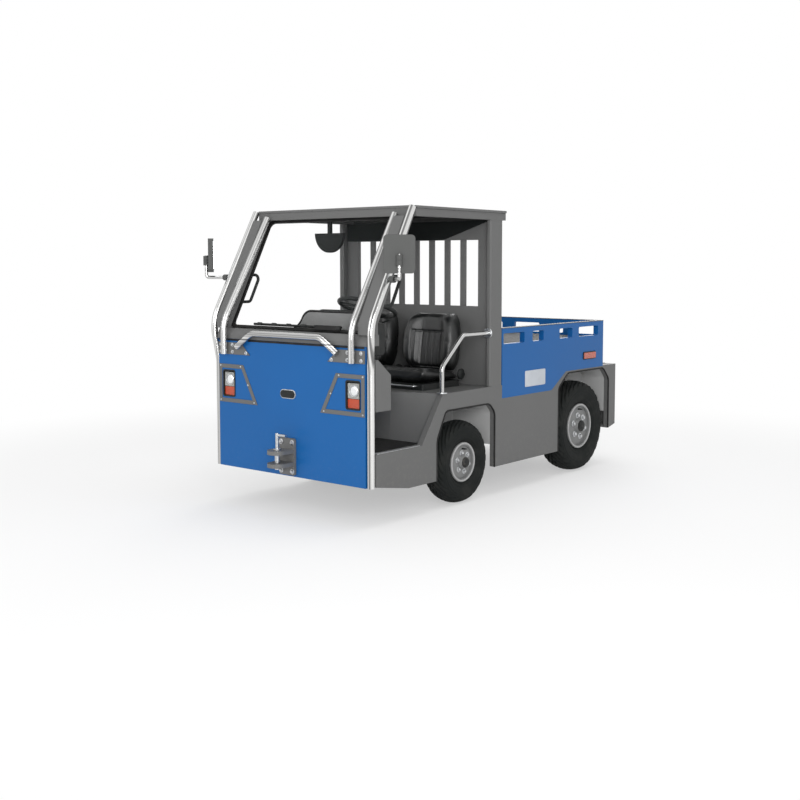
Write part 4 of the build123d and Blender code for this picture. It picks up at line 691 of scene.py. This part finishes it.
# %% [markdown]
# Tyres
#
# Industrial tyres carry deep slanted lugs that meet in the middle and run out over the shoulders. They could
# be boxes set round a ring, but on a real tyre the lugs are what is left between moulded grooves. So the tyre
# is one surface: its section goes round the axle, and its radius drops where the groove formula says so.
# Low ridges on the side wall mark where the two halves of the mould and the rim protector lie.

# %% Four tyres with moulded lugs
ROUND_COUNT = 340
GROOVE_SLANT = 3.2
WHEEL_SIZES = {
    # end: bead radius, half-width at the bead, lugs round the tyre, groove depth
    "front": (0.118, 0.054, 26, 0.011),
    "rear": (0.156, 0.068, 28, 0.013),
}
BEAD_LIFT = 0.016
SHOULDER = 0.014
CROWN_DROP = 0.018
SIDE_RIDGES = (
    # place up the side wall and spread, as shares of its height, and lift in metres
    (0.20, 0.05, 0.0030), (0.62, 0.03, 0.0018), (0.74, 0.012, 0.0016),
)
MIDDLE_WAVE = 0.006


def wheel_place(end, hand):
    """The middle of a tyre, its width and its radius, from the box of its solid."""
    low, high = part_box(f"{end}_tyre_{hand}")
    return (np.array(low) + np.array(high)) / 2, high.y - low.y, (high.z - low.z) / 2


def tyre_section(radius, width, bead, bead_half):
    """Half of a tyre's section from the bead out to the middle of the tread, as (reach, radius) points.

    Bead wall, side-wall arc, shoulder corner and crown arc; the side wall is swollen at each ridge by a bell
    curve over its own height."""
    foot = (bead_half, bead + BEAD_LIFT)
    shoulder = (width / 2 - SHOULDER, radius - CROWN_DROP)
    wall = arc(foot, (width / 2, (bead + radius) / 2), shoulder, 40)
    height = (wall[:, 1] - wall[0, 1]) / (wall[-1, 1] - wall[0, 1])
    for at, spread, lift in SIDE_RIDGES:
        wall[:, 0] += lift * np.exp(-(((height - at) / spread) ** 2))
    crown = arc(shoulder, (0.0, radius), (-shoulder[0], shoulder[1]), 41)[1:21]
    return np.concatenate([[(bead_half, bead + 0.0004)], wall, crown])


def tyre(end, hand, side):
    """Lug tyre: radius = section - depth x groove.

    Grooves repeat with lugs x angle + slant x (distance from the middle) ^ 1.5, half a step apart on the two
    sides, and one wavy groove runs round the middle."""
    node = f"{end}_tyre_{hand}"
    centre, width, radius = wheel_place(end, hand)
    bead, bead_half, lugs, depth = WHEEL_SIZES[end]
    half = tyre_section(radius, width, bead, bead_half)
    section = np.concatenate([half, (half * [-1, 1])[::-1]])
    rings = turned(section, ROUND_COUNT, centre, side)
    angle = round_turn(ROUND_COUNT)
    reach = section[:, :1]
    off_middle = np.abs(reach) / (width / 2)
    phase = (lugs * angle / TURN + GROOVE_SLANT * off_middle ** 1.5 + 0.5 * (reach > 0)) % 1.0
    slanted = (1.0 - smooth_step(np.abs(phase - 0.5), 0.15, 0.21)) * smooth_step(off_middle, 0.10, 0.16)
    middle = 1.0 - smooth_step(np.abs(reach - MIDDLE_WAVE * np.sin(lugs * angle)), 0.0030, 0.0050)
    on_tread = smooth_step(section[:, 1:], radius - 2.2 * CROWN_DROP, radius - 1.2 * CROWN_DROP)
    drop = depth * on_tread * np.maximum(slanted, middle)
    away = rings - [centre[0], 0.0, centre[2]]
    away[..., 1] = 0.0
    rings -= away / np.linalg.norm(away, axis=2, keepdims=True) * drop[..., None]
    made = piece(f"{node}_lugs", f"{end}_wheel_{hand}", "tyre", skin(rings, closed=True))
    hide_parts(node)


WHEELS = [(end, hand, side) for end in WHEEL_SIZES for hand, side in (("left", 1.0), ("right", -1.0))]
for wheel in WHEELS:
    tyre(*wheel)

# %% [markdown]
# Wheel hardware
#
# Each pressed wheel is held by a circle of nuts, with a grease cap over the bearing and a valve through the
# disc. The rolled lip of the rim is a ring of its own, in a lighter paint that is a painted highlight.

# %% Nuts, grease cap, valve and bright lip on each wheel
NUT_COUNT = 6
WHEEL_HARDWARE = {
    # end: reach of the disc face from the tyre's middle, nut circle, nut across flats, hub face, cap radius
    "front": (0.060, 0.063, 0.019, 0.080, 0.034),
    "rear": (0.070, 0.082, 0.024, 0.090, 0.042),
}
CAP_CURVE = [(0.0, 1.0), (0.25, 1.0), (0.30, 0.93), (0.55, 0.90), (0.80, 0.72), (0.95, 0.40), (1.0, 0.0)]
CAP_HEIGHT = 0.022
VALVE = [(0.0, 0.006), (0.022, 0.006), (0.024, 0.0045), (0.034, 0.0045), (0.035, 0.003)]
LIP_REACH, LIP_RISE, LIP_RADIUS = 0.0093, 0.004, 0.006


def wheel_hardware(end, hand, side):
    """Nuts on their circle, a turned grease cap, a valve stem near the lip, and the lip as a thin torus."""
    centre = wheel_place(end, hand)[0]
    reach, circle, flats, hub, cap = WHEEL_HARDWARE[end]
    bead, bead_half = WHEEL_SIZES[end][:2]
    out = np.array([0.0, side, 0.0])
    turn = round_turn(NUT_COUNT) + 0.3
    spots = centre + reach * out + circle * np.stack([np.cos(turn), 0.0 * turn, np.sin(turn)], axis=1)
    body = f"{end}_wheel_{hand}"
    piece(f"{end}_wheel_nuts_{hand}", body, "zinc_steel", *bolts(spots, out, flats))
    profile = np.array(CAP_CURVE) * [CAP_HEIGHT, cap]
    valve = centre + (reach - 0.004) * out + [0.0, 0.0, bead - 0.030]
    piece(f"{end}_grease_cap_{hand}", body, "black_steel", lathe(profile, centre + hub * out, out, 40),
          lathe(VALVE, valve, out, 16))
    lip = small_circle(bead_half + LIP_REACH, bead + LIP_RISE, LIP_RADIUS, round_turn(10))
    # the lip's lighter paint is a painted highlight
    piece(f"{end}_rim_lip_{hand}", body, "rim_bright", lathe(lip, centre, out, 96, ring=True))


for wheel in WHEELS:
    wheel_hardware(*wheel)

# %% [markdown]
# Seats
#
# Both seats are vinyl over foam: a cushion with raised edges and a back with deep wings, sewn in upright
# channels. Foam under a tight cover swells between its seams, which is hard to draw and easy to let happen: a
# slightly small pad is closed, remeshed evenly, and blown up a little as cloth. Channels and seams are
# pressed in afterwards, because an even mesh forgets any seam narrower than its grid.

# %% Foam forms of the cushion and the back
PAD_ROWS = 48
PAD_COLUMNS = 96
SEAT_TILT = math.radians(8.0)


def rounded(share, power):
    """Fullness from 0 at both ends to 1 between, by a superellipse of that power over a share 0 to 1."""
    return np.clip(1.0 - np.abs(2.0 * share - 1.0) ** power, 0.0, 1.0) ** (1.0 / power)


def pad_form(length, half_width, thick, under, wing, wing_from):
    """Closed pad: rings across it at each place along it, a superellipse thicker where the wings begin.

    `half_width` and `under`, the depth below the middle plane, are functions of the share along the pad.
    Returns rings in the pad's own frame: along, across, out of its face."""
    along = (1.0 - np.cos(np.linspace(0.03, 0.97, PAD_ROWS) * math.pi)) / 2.0
    angle = round_turn(PAD_COLUMNS)
    across = np.sign(np.cos(angle)) * np.abs(np.cos(angle)) ** 0.62
    out = np.sign(np.sin(angle)) * np.abs(np.sin(angle)) ** 0.75
    full = rounded(along, 5.0)[:, None]
    lift = wing * smooth_step(np.abs(across), wing_from, 0.90) * rounded(along, 2.4)[:, None]
    face = np.where(out > 0.0, thick + lift, under(along)[:, None])
    rings = np.empty((PAD_ROWS, PAD_COLUMNS, 3))
    rings[..., 0] = (along * length)[:, None]
    rings[..., 1] = half_width(along)[:, None] * (0.75 + 0.25 * full) * across
    rings[..., 2] = face * out * full
    return rings


CUSHION_SIZE = (0.415, 0.225)
BACK_SIZE = (0.395, 0.222)
cushion_form = pad_form(CUSHION_SIZE[0], lambda share: CUSHION_SIZE[1] - 0.02 * (1.0 - share), 0.020,
                        lambda share: 0.008 + CUSHION_SIZE[0] * math.tan(SEAT_TILT) * share, 0.020, 0.55)
back_form = pad_form(BACK_SIZE[0], lambda share: BACK_SIZE[1] - 0.05 * (1.7 * share - 0.75) ** 2, 0.038,
                     lambda share: np.full_like(share, 0.034), 0.105, 0.30)
print("pad forms", cushion_form.shape, back_form.shape)

# %% Blow the foam up as cloth
VOXEL = 0.006
SWELL_CAP = 0.010
PRESSURE = 4.0
SIM_FRAMES = 20


def swollen(name, rings):
    """The pad's even mesh, and its points after cloth frames under pressure, each point's move capped."""
    blank = bpy.data.objects.new(name, new_mesh(name, [skin(rings, caps=True)]))
    scene.collection.objects.link(blank)
    remesh = blank.modifiers.new("even_grid", "REMESH")
    remesh.mode, remesh.voxel_size = "VOXEL", VOXEL
    view = bpy.context.evaluated_depsgraph_get()
    even = bpy.data.meshes.new_from_object(blank.evaluated_get(view))
    blank.modifiers.clear()
    blank.data = even
    before = np.empty(len(even.vertices) * 3, np.float32)
    even.vertices.foreach_get("co", before)
    cloth = blank.modifiers.new("foam_cover", "CLOTH")
    cloth.settings.use_pressure = True
    cloth.settings.uniform_pressure_force = PRESSURE
    cloth.settings.effector_weights.gravity = 0.0
    for count in range(1, SIM_FRAMES + 1):
        scene.frame_set(count)
    view = bpy.context.evaluated_depsgraph_get()
    after = np.empty_like(before)
    blank.evaluated_get(view).data.vertices.foreach_get("co", after)
    blank.modifiers.clear()
    scene.frame_set(1)
    move = (after - before).reshape(-1, 3)
    length = np.linalg.norm(move, axis=1, keepdims=True)
    move *= np.minimum(1.0, SWELL_CAP / np.maximum(length, 1e-9))
    print(name, "swelled by up to", round(float(length.max()) * 1000, 1), "mm, capped")
    before += move.ravel()
    bpy.data.objects.remove(blank)
    return even, before.reshape(-1, 3)


print("pads swell by up to", SWELL_CAP, "m")

# %% Press the seams in and set the pads on the seats
SEAM_AT, SEAM_DEPTH, RIB_DEPTH = 0.60, 0.008, 0.006
CHANNELS = 5
CUSHION_SEWN, BACK_SEWN = (0.10, 0.80), (0.06, 0.66)
BACK_HEIGHT = 0.415


def groove(distance, width):
    """A sewn line pressed in: 1 on the line, fading as a bell curve over `width`."""
    return np.exp(-((distance / width) ** 2))


def sewn(points, length, half_width, first, last):
    """Press seams into a pad's face: upright channels in the middle from share `first` to `last`, and a line
    round them that the wings roll from."""
    share = points[:, 0] / length
    across = points[:, 1] / half_width
    begun = smooth_step(share, first - 0.03, first + 0.01)
    inside = begun * (1.0 - smooth_step(share, last - 0.01, last + 0.03))
    middle = 1.0 - smooth_step(np.abs(across), 0.54, SEAM_AT)
    wave = np.abs(((across / 0.56 + 1.0) / 2.0 * CHANNELS) % 1.0 - 0.5)
    ribs = -smooth_step(wave, 0.30, 0.50)
    edge = groove((np.abs(across) - SEAM_AT) * half_width, 0.006) * inside
    from_end = np.minimum(np.abs(share - first), np.abs(share - last)) * length
    ends = groove(from_end, 0.005) * middle
    facing = smooth_step(points[:, 2], 0.004, 0.016)
    points[:, 2] += facing * (RIB_DEPTH * ribs * inside * middle - SEAM_DEPTH * np.maximum(edge, ends))
    return points


def seat_pads(name, rings, size, sewn_part, turn, places):
    """Sewn pads: one swollen mesh, set at each seat by turning its own axes to along, across and out."""
    even, points = swollen(name, rings)
    points = sewn(points, *size, *sewn_part).astype(float)
    for seat, place in places.items():
        node = f"{seat}_seat_{name}"
        mesh = even.copy()
        mesh.vertices.foreach_set("co", (points @ turn + place).astype(np.float32).ravel())
        mesh.update()
        mesh.shade_smooth()
        mesh.materials.clear()
        made = dressed(f"{node}_pad", "tractor", "black_vinyl", mesh)
        rounding = made.modifiers.new("rounding", "SUBSURF")
        rounding.levels = rounding.render_levels = 1
        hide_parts(node)


ahead, rise = leaning(SEAT_TILT)
cushion_places, back_places = {}, {}
for seat in ("driver", "passenger"):
    low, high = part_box(f"{seat}_seat_cushion")
    cushion_places[seat] = np.array([low.x + 0.012, (low.y + high.y) / 2, low.z + 0.018])
    low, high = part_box(f"{seat}_seat_back")
    foot = np.array([low.x + BACK_HEIGHT * math.sin(SEAT_TILT), (low.y + high.y) / 2, low.z])
    back_places[seat] = foot + 0.045 * ahead + 0.012 * rise
seat_pads("cushion", cushion_form, CUSHION_SIZE, CUSHION_SEWN, np.array([ahead, LEFT, rise]), cushion_places)
seat_pads("back", back_form, BACK_SIZE, BACK_SEWN, np.array([rise, LEFT, ahead]), back_places)

# %% [markdown]
# Nose
#
# The nose is one blue sheet under a folded sill. Around it there are screws in the lamp bands, bolts in the
# brackets, a gasket under the sill and a blank oval boss in the middle. Each lamp has a bright bowl behind
# its lens, which reads as the round lamp in the square housing.

# %% Trim of the nose
NOSE = 1.445
BRACKET_FACE = NOSE + 0.006
BAND_FACE = NOSE + 0.003
LENS_FACE = 1.437
BOSS = (NOSE, 0.0, 0.752)
BRACKET_BOLTS = ((0.608, 0.990), (0.608, 1.034), (0.500, 0.990), (0.500, 1.034), (0.372, 0.986))
BAND_SCREWS = ((0.618, 0.896), (0.618, 0.672), (0.428, 0.896), (0.305, 0.672), (0.362, 0.782))
BOWL_RADIUS, BOWL_THICK, BOWL_ARC = 0.034, 0.0035, 6.0
trim("nose_boss", "black_plastic", plate(BOSS, FORWARD, 0.124, 0.047, 0.010, 0.0232, 0.004))
trim("nose_boss_rim", "zinc_steel", plate(BOSS, FORWARD, 0.134, 0.057, 0.005, 0.0282))
trim("nose_gasket", "rubber_seal", plate((NOSE, 0.0, 1.067), FORWARD, 1.262, 0.013, 0.004, 0.003))
trim("bracket_bolts", "zinc_steel",
     *bolts(both(*[(BRACKET_FACE, y, z) for y, z in BRACKET_BOLTS]), FORWARD, 0.013))
trim("band_screws", "zinc_steel",
     *lathes(dome(0.006, 0.003), both(*[(BAND_FACE, y, z) for y, z in BAND_SCREWS]), FORWARD, 16))
bowl = small_circle(0.0, BOWL_RADIUS, BOWL_THICK, np.linspace(0.0, BOWL_ARC, 12))
lamp_places = both((LENS_FACE, 0.540, 0.809))
trim("lamp_bowls", "zinc_steel", *lathes(bowl, lamp_places, FORWARD, 48, ring=True))
trim("lamp_bulbs", "mirror", *lathes(dome(0.029, 0.006), lamp_places, FORWARD, 40))

# %% [markdown]
# Couplings
#
# Each coupling is bolted to its wall through the four corners of its flange, and its pin lifts out upwards.

# %% Bolts of both couplings, and reflectors at the tail
COUPLINGS = (
    # end, face of the flange, the way it looks, heights of its lower and upper bolts
    ("front", 1.463, FORWARD, 0.275, 0.455),
    ("rear", -1.475, BACK, 0.365, 0.555),
)
for end, face, way, low, high in COUPLINGS:
    trim(f"{end}_coupling_bolts", "zinc_steel",
         *bolts(both((face, 0.048, low), (face, 0.048, high)), way, 0.018))
trim("tail_reflectors", "red_lens", *lathes(dome(0.030, 0.007), both((-1.457, 0.540, 0.690)), BACK, 40))
strip_places = [(x, 0.0, 0.776) for x in (-1.430, -1.385, -1.340)]
trim("tail_step_strips", "rubber_seal", *plates(strip_places, UP, 1.20, 0.020, 0.003, 0.004))

# %% [markdown]
# Windscreen and mirrors
#
# The wiper's blade has a spine with clips along it and a cap over the arm's spindle. Mirror arms are clamped
# to the corner tubes by collars, and a second collar holds each mirror.

# %% Wiper, mirror clamps and handle roses
LEAN = math.radians(27.5)
TUBE_LEAN = math.radians(28.8)
LEAN_FROM = 1.205
TUBE_FOOT_X, PILLAR_FOOT_X = 1.442, 1.354
BLADE_UP, BLADE_OUT = 0.029, 0.019
MIRROR_STEM = (1.3724, 0.8342)
glass_out, glass_up = leaning(LEAN)
glass_foot = np.array([1.390, 0.0, 1.140])


def on_glass(y, up, out):
    """A place on the windscreen: metres to the left, up the slope and out from the middle of the pane."""
    return glass_foot + [0.0, y, 0.0] + up * glass_up + out * glass_out


spine = np.linspace(on_glass(-0.355, BLADE_UP, BLADE_OUT), on_glass(0.185, BLADE_UP, BLADE_OUT), 24)
clip_places = [on_glass(y, BLADE_UP, BLADE_OUT - 0.001) for y in (-0.30, -0.17, -0.04, 0.09)]
trim("wiper_spine", "black_steel", rod(spine, 0.0045, glass_out),
     *plates(clip_places, glass_out, 0.040, 0.016, 0.009, 0.004),
     lathe(dome(0.017, 0.014), on_glass(0.378, 0.024, 0.018), glass_out, 28))
collar = [(-0.016, 0.013), (-0.016, 0.020), (0.016, 0.020), (0.016, 0.013)]
arm_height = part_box("mirror_arms")[0].z + 0.011
feet = both((TUBE_FOOT_X - (arm_height - LEAN_FROM) * math.tan(TUBE_LEAN), 0.722, arm_height))
tops = both((*MIRROR_STEM, 1.560), (*MIRROR_STEM, 1.590))
trim("mirror_clamps", "mirror_case", *lathes(collar, feet, LEFT, 28, ring=True),
     *lathes(collar, tops, UP, 28, ring=True))
rose = [(0.0, 0.022), (0.004, 0.022), (0.006, 0.019), (0.006, 0.0)]
rose_places = both(*[(PILLAR_FOOT_X - (z - LEAN_FROM) * math.tan(LEAN), 0.6165, z) for z in (1.303, 1.480)])
trim("handle_roses", "black_plastic", *lathes(rose, rose_places, -glass_out, 28))

# %% [markdown]
# Painted roof shadow
#
# At the back a black felt sheet hangs over the head of the rear window. It is a painted shadow of the roof on
# the rear wall, and its near end is cut off at a slope. It is one strip with a closed section at each place
# across the cab, so its lower edge can be any function.

# %% Black sheet painted as the roof's shadow on the rear wall
ROOF_SHADOW_TOP, ROOF_SHADOW_LOW, ROOF_SHADOW_THICK, ROOF_SHADOW_END = 1.841, 1.716, 0.014, 0.250
ROOF_SHADOW_TIP = 0.008
wall_low, wall_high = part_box("cab_rear_wall")
across = np.linspace(wall_low.y + 0.012, wall_high.y - 0.030, 80)
slope = np.clip((across - ROOF_SHADOW_END) / (across[-1] - ROOF_SHADOW_END), 0.0, 1.0)
lower_edge = ROOF_SHADOW_LOW + (ROOF_SHADOW_TOP - ROOF_SHADOW_TIP - ROOF_SHADOW_LOW) * slope
# painted shadow: a black felt sheet where the roof shades the rear wall
trim("painted_roof_shadow", "headliner_felt",
     strip(across, 1, (wall_high.x, wall_high.x + ROOF_SHADOW_THICK), lower_edge, ROOF_SHADOW_TOP))

# %% [markdown]
# Driver's place
#
# The dashboard's hump has a soft black edge, and carries the dials, a row of rocker switches and the key.
# Below the steering wheel a shroud covers the column, with a lever on each side. The floor has a ribbed
# rubber mat, one strip whose thickness is a square wave along the tractor, and the pedals have rubber covers.

# %% Dashboard edging and instruments
DASH_FRONT, DASH_REAR = 1.305, 1.190
EDGING_INSET = 0.004
DIAL_FACE, DIAL_Z, SWITCH_Z = DASH_REAR - 0.006, 1.192, 1.085
SEAT_Y = 0.270
hump = np.concatenate([[(-0.529, 1.134)], arc((-0.140, 1.134), (-0.065, 1.160), (-0.015, 1.210), 14),
                       arc((-0.015, 1.210), (0.012, 1.244), (0.060, 1.262), 12),
                       arc((0.440, 1.262), (0.505, 1.235), (0.530, 1.160), 16), [(0.530, 1.010)]])
edges = [np.column_stack([np.full(len(hump), x), hump])
         for x in (DASH_FRONT - EDGING_INSET, DASH_REAR + EDGING_INSET)]
trim("dash_edging", "rubber_seal", *[rod(edge, 0.0080, FORWARD) for edge in edges])
trim("dash_panel", "black_plastic", plate((DASH_REAR, SEAT_Y, 1.190), BACK, 0.40, 0.105, 0.006, 0.030),
     plate((1.278, 0.530, 1.105), LEFT, 0.165, 0.200, 0.050, 0.030, 0.012),
     plate((1.278, -0.530, 1.070), RIGHT, 0.165, 0.130, 0.050, 0.030, 0.012))
bezel = [(0.0, 0.034), (0.008, 0.034), (0.010, 0.031), (0.008, 0.028), (0.0, 0.028)]
dials = [(DIAL_FACE, y, DIAL_Z) for y in (0.150, 0.390)]
trim("dial_bezels", "zinc_steel", *lathes(bezel, dials, BACK, 40, ring=True))
trim("display", "mirror", plate((DIAL_FACE, SEAT_Y, DIAL_Z), BACK, 0.110, 0.062, 0.003, 0.006))
switch_places = [(DASH_REAR, y, SWITCH_Z) for y in np.arange(0.10, 0.46, 0.035)]
key = [(0.0, 0.014), (0.010, 0.014), (0.012, 0.011), (0.012, 0.0)]
trim("switches", "black_plastic", *plates(switch_places, BACK, 0.022, 0.036, 0.009, 0.004, 0.003),
     lathe(key, (DASH_REAR, 0.480, SWITCH_Z), BACK, 24))

# %% Column shroud, levers and horn pad
COLUMN_TILT = math.radians(20.0)
column_ahead, column_up = leaning(COLUMN_TILT)
wheel_middle = np.array([1.010, SEAT_Y, 1.280])
shroud = [(0.064, 0.031), (0.064, 0.042), (0.075, 0.052), (0.170, 0.058), (0.235, 0.050), (0.290, 0.036),
          (0.290, 0.031)]
trim("column_shroud", "black_plastic", lathe(shroud, wheel_middle, -column_up, 40, ring=True))
levers = []
for out in (LEFT, RIGHT):
    root = wheel_middle - 0.105 * column_up + 0.045 * out
    reach = bent([root, root + 0.075 * out, root + 0.165 * out + 0.030 * column_up], 0.02)
    levers += [rod(reach, 0.0055, column_ahead), lathe(dome(0.011, 0.022), reach[-1] - 0.02 * out, out, 24)]
trim("column_levers", "black_plastic", *levers)
piece("horn_pad", "steering_wheel", "black_plastic", lathe(dome(0.047, 0.020), wheel_middle, column_up, 40))

# %% Floor mat, pedal covers and door tread
MAT_LOW, MAT_HIGH, MAT_HALF = 0.935, 1.398, 0.632
MAT_BASE, RIB_HEIGHT, RIB_PITCH = 0.0035, 0.0025, 0.022
FLOOR = 0.440
EDGE_Y = 0.660
along = np.linspace(MAT_LOW, MAT_HIGH, 420)
rib = MAT_BASE + RIB_HEIGHT * smooth_step(np.sin(TURN * along / RIB_PITCH), -0.3, 0.3)
trim("floor_mat", "rubber_seal", strip(along, 0, (-MAT_HALF, MAT_HALF), FLOOR, FLOOR + rib))
pedal_face = np.array([-0.9333, 0.0, 0.3590])
covers = [plate((1.2827, y, 0.525), pedal_face, width, 0.085, 0.006, 0.008)
          for y, width in ((0.400, 0.086), (0.160, 0.066))]
trim("pedal_covers", "rubber_seal", *covers)
trim("door_treads", "zinc_steel", *plates(both((1.185, EDGE_Y, FLOOR)), UP, 0.034, 0.400, 0.003, 0.004))

# %% [markdown]
# Seats' fittings and hip rails
#
# Each seat slides on its base: a bar under the cushion's front frees it, and round covers hide the hinges of
# the back. The hip rails stand on flanges on the deck and on the rear posts.

# %% Seat bars, hinge covers and rail flanges
GRIP_HALF, GRIP_REAR, GRIP_FRONT, GRIP_Z = 0.16, 0.66, 0.745, 0.768
hinge = [(0.0, 0.036), (0.012, 0.036), (0.018, 0.028), (0.018, 0.0)]
bars, hinges = [], []
for y in (SEAT_Y, -SEAT_Y):
    grip = bent([(GRIP_REAR, y - GRIP_HALF, GRIP_Z), (GRIP_FRONT, y - GRIP_HALF, GRIP_Z),
                 (GRIP_FRONT, y + GRIP_HALF, GRIP_Z), (GRIP_REAR, y + GRIP_HALF, GRIP_Z)], 0.02)
    bars.append(rod(grip, 0.006, UP))
    hinges += [lathe(hinge, (0.335, y + 0.228 * out[1], 0.822), out, 32) for out in (LEFT, RIGHT)]
trim("seat_bars", "zinc_steel", *bars)
trim("seat_hinges", "black_plastic", *hinges)
flange = [(0.0, 0.014), (0.0, 0.034), (0.005, 0.034), (0.007, 0.032), (0.007, 0.014)]
trim("rail_flanges", "zinc_steel", *lathes(flange, both((0.745, EDGE_Y, 0.740)), UP, 36, ring=True),
     *lathes(flange, both((0.245, EDGE_Y, 1.097)), FORWARD, 36, ring=True))

# %% [markdown]
# Rear body and roof
#
# The slotted rails carry a grey cap along the top. Plain plates sit where a tractor usually shows its name,
# the markers stand in black frames, and each lamp stack at the back has three lenses. The arches have a
# rubber edge, bent along the same corners as the sheet.

# %% Caps, plates, lamp frames, arch edges and roof screws
BODY_SIDE, CAP_FOOT, LAMP_BACK = 0.680, 1.121, -1.295
FRONT_ARCH = ((0.820, 0.195), (0.820, 0.456), (0.729, 0.629), (0.252, 0.629), (0.190, 0.567), (0.190, 0.195))
REAR_ARCH = ((-0.615, 0.195), (-0.615, 0.658), (-0.745, 0.757), (-1.265, 0.757), (-1.350, 0.672),
             (-1.350, 0.284))


def on_sides(x, z, *size):
    """A plate on each side of the rear body, facing outwards."""
    return [plate((x, BODY_SIDE * out[1], z), out, *size) for out in (LEFT, RIGHT)]


trim("body_caps", "grey_paint", *plates(both((-0.575, EDGE_Y, CAP_FOOT)), UP, 0.046, 1.364, 0.004, 0.004),
     plate((-1.242, 0.0, CAP_FOOT), UP, 1.274, 0.034, 0.004, 0.004))
trim("side_plates", "pale_plate", *on_sides(-0.302, 0.758, 0.260, 0.112, 0.003, 0.010))
trim("marker_frames", "black_plastic", *on_sides(-1.049, 0.868, 0.186, 0.058, 0.005, 0.012))
for look, z in (("amber_lens", 0.911), ("red_lens", 0.866), ("clear_lens", 0.821)):
    trim(f"tail_{look}", look, *plates(both((LAMP_BACK, 0.600, z)), BACK, 0.060, 0.041, 0.007, 0.008, 0.003))
edgings = [rod(bent([(x, side * (BODY_SIDE - 0.001), z) for x, z in arch], 0.03), 0.006, LEFT)
           for arch in (FRONT_ARCH, REAR_ARCH) for side in (1.0, -1.0)]
trim("arch_edging", "rubber_seal", *edgings)
roof_screws = both(*[(x, 0.640, 1.905) for x in np.linspace(0.12, 0.99, 6)])
trim("roof_screws", "zinc_steel", *lathes(dome(0.009, 0.004), roof_screws, UP, 20))

# %% [markdown]
# Studio
#
# A product picture like this is lit by large soft boxes over a white sweep. The floor is a pale plane that
# keeps the shadow, and the background is white for the camera, for reflections and through glass, while the
# light that reaches the tractor stays at a plain level.

# %% Floor, soft boxes and white surround
WHITE, FLOOR_WHITE = (1.0, 1.0, 1.0), (0.86, 0.86, 0.86)
WORLD_LIGHT = 0.55
FLOOR_HALF = 30.0
SHADOW_SHARE = 0.55
SHADOW_REACH = 2.6
SOFT_BOXES = {
    # lamp: place, width, height, power in watts
    "key_box": ((5.6, 6.4, 4.0), 2.6, 2.4, 140.0),
    "fill_box": ((7.7, 6.1, 2.3), 3.0, 2.2, 280.0),
    "nose_box": ((8.0, -2.0, 4.0), 4.0, 4.0, 110.0),
    "top_box": ((-1.0, 0.5, 7.0), 6.0, 5.0, 190.0),
    "tail_box": ((-7.0, -4.0, 4.5), 4.0, 4.0, 140.0),
}
AIM = Vector((0.0, 0.0, 0.8))


def seen_directly(where):
    """1 for rays that come from the camera, a reflection or through glass, else 0."""
    rays = [where.node("LightPath", output=name)
            for name in ("Is Camera Ray", "Is Glossy Ray", "Is Transmission Ray")]
    return where.maths("MINIMUM", rays[0] + rays[1] + rays[2], 1.0)


def white_floor():
    """Pale floor: matt white that takes the shadow, mixed with plain white, which is all of it far away."""
    where = surface("studio_floor")
    matt = where.node("BsdfDiffuse", {"Color": FLOOR_WHITE})
    glow = where.node("Emission", {"Color": WHITE, "Strength": 1.0})
    away = where.node("VectorMath", {0: where}, {"operation": "LENGTH"}, output=1)
    white = (1.0 - SHADOW_SHARE) + step(away, SHADOW_REACH, 2.0 * SHADOW_REACH) * SHADOW_SHARE
    mixed = where.node("MixShader", {0: seen_directly(where) * white, 1: matt, 2: glow})
    where.node("OutputMaterial", {"Surface": mixed}, output=None)


white_floor()
floor_mesh = bpy.data.meshes.new("studio_floor")
corner = np.array([[-1, -1, 0], [1, -1, 0], [1, 1, 0], [-1, 1, 0]], float) * FLOOR_HALF
floor_mesh.from_pydata(corner.tolist(), [], [[0, 1, 2, 3]])
floor_mesh.materials.append(finishes["studio_floor"])
floor = bpy.data.objects.new("studio_floor", floor_mesh)
scene.collection.objects.link(floor)

for name, (place, width, height, power) in SOFT_BOXES.items():
    lamp = bpy.data.lights.new(name, "AREA")
    lamp.shape = "RECTANGLE"
    lamp.size, lamp.size_y = width, height
    lamp.energy = power
    box = bpy.data.objects.new(name, lamp)
    box.location = place
    box.rotation_euler = (AIM - box.location).to_track_quat("-Z", "Y").to_euler()
    scene.collection.objects.link(box)

surround = bpy.data.worlds.new("surround")
surround.use_nodes = True
surround.node_tree.nodes.clear()
sky = Wire(surround.node_tree, surround.node_tree.nodes.new("ShaderNodeTexCoord").outputs["Generated"])
strength = seen_directly(sky) * (1.0 - WORLD_LIGHT) + WORLD_LIGHT
backdrop = sky.node("Background", {"Color": WHITE, "Strength": strength})
sky.node("OutputWorld", {"Surface": backdrop}, output=None)
scene.world = surround
print("studio with", len(SOFT_BOXES), "soft boxes")
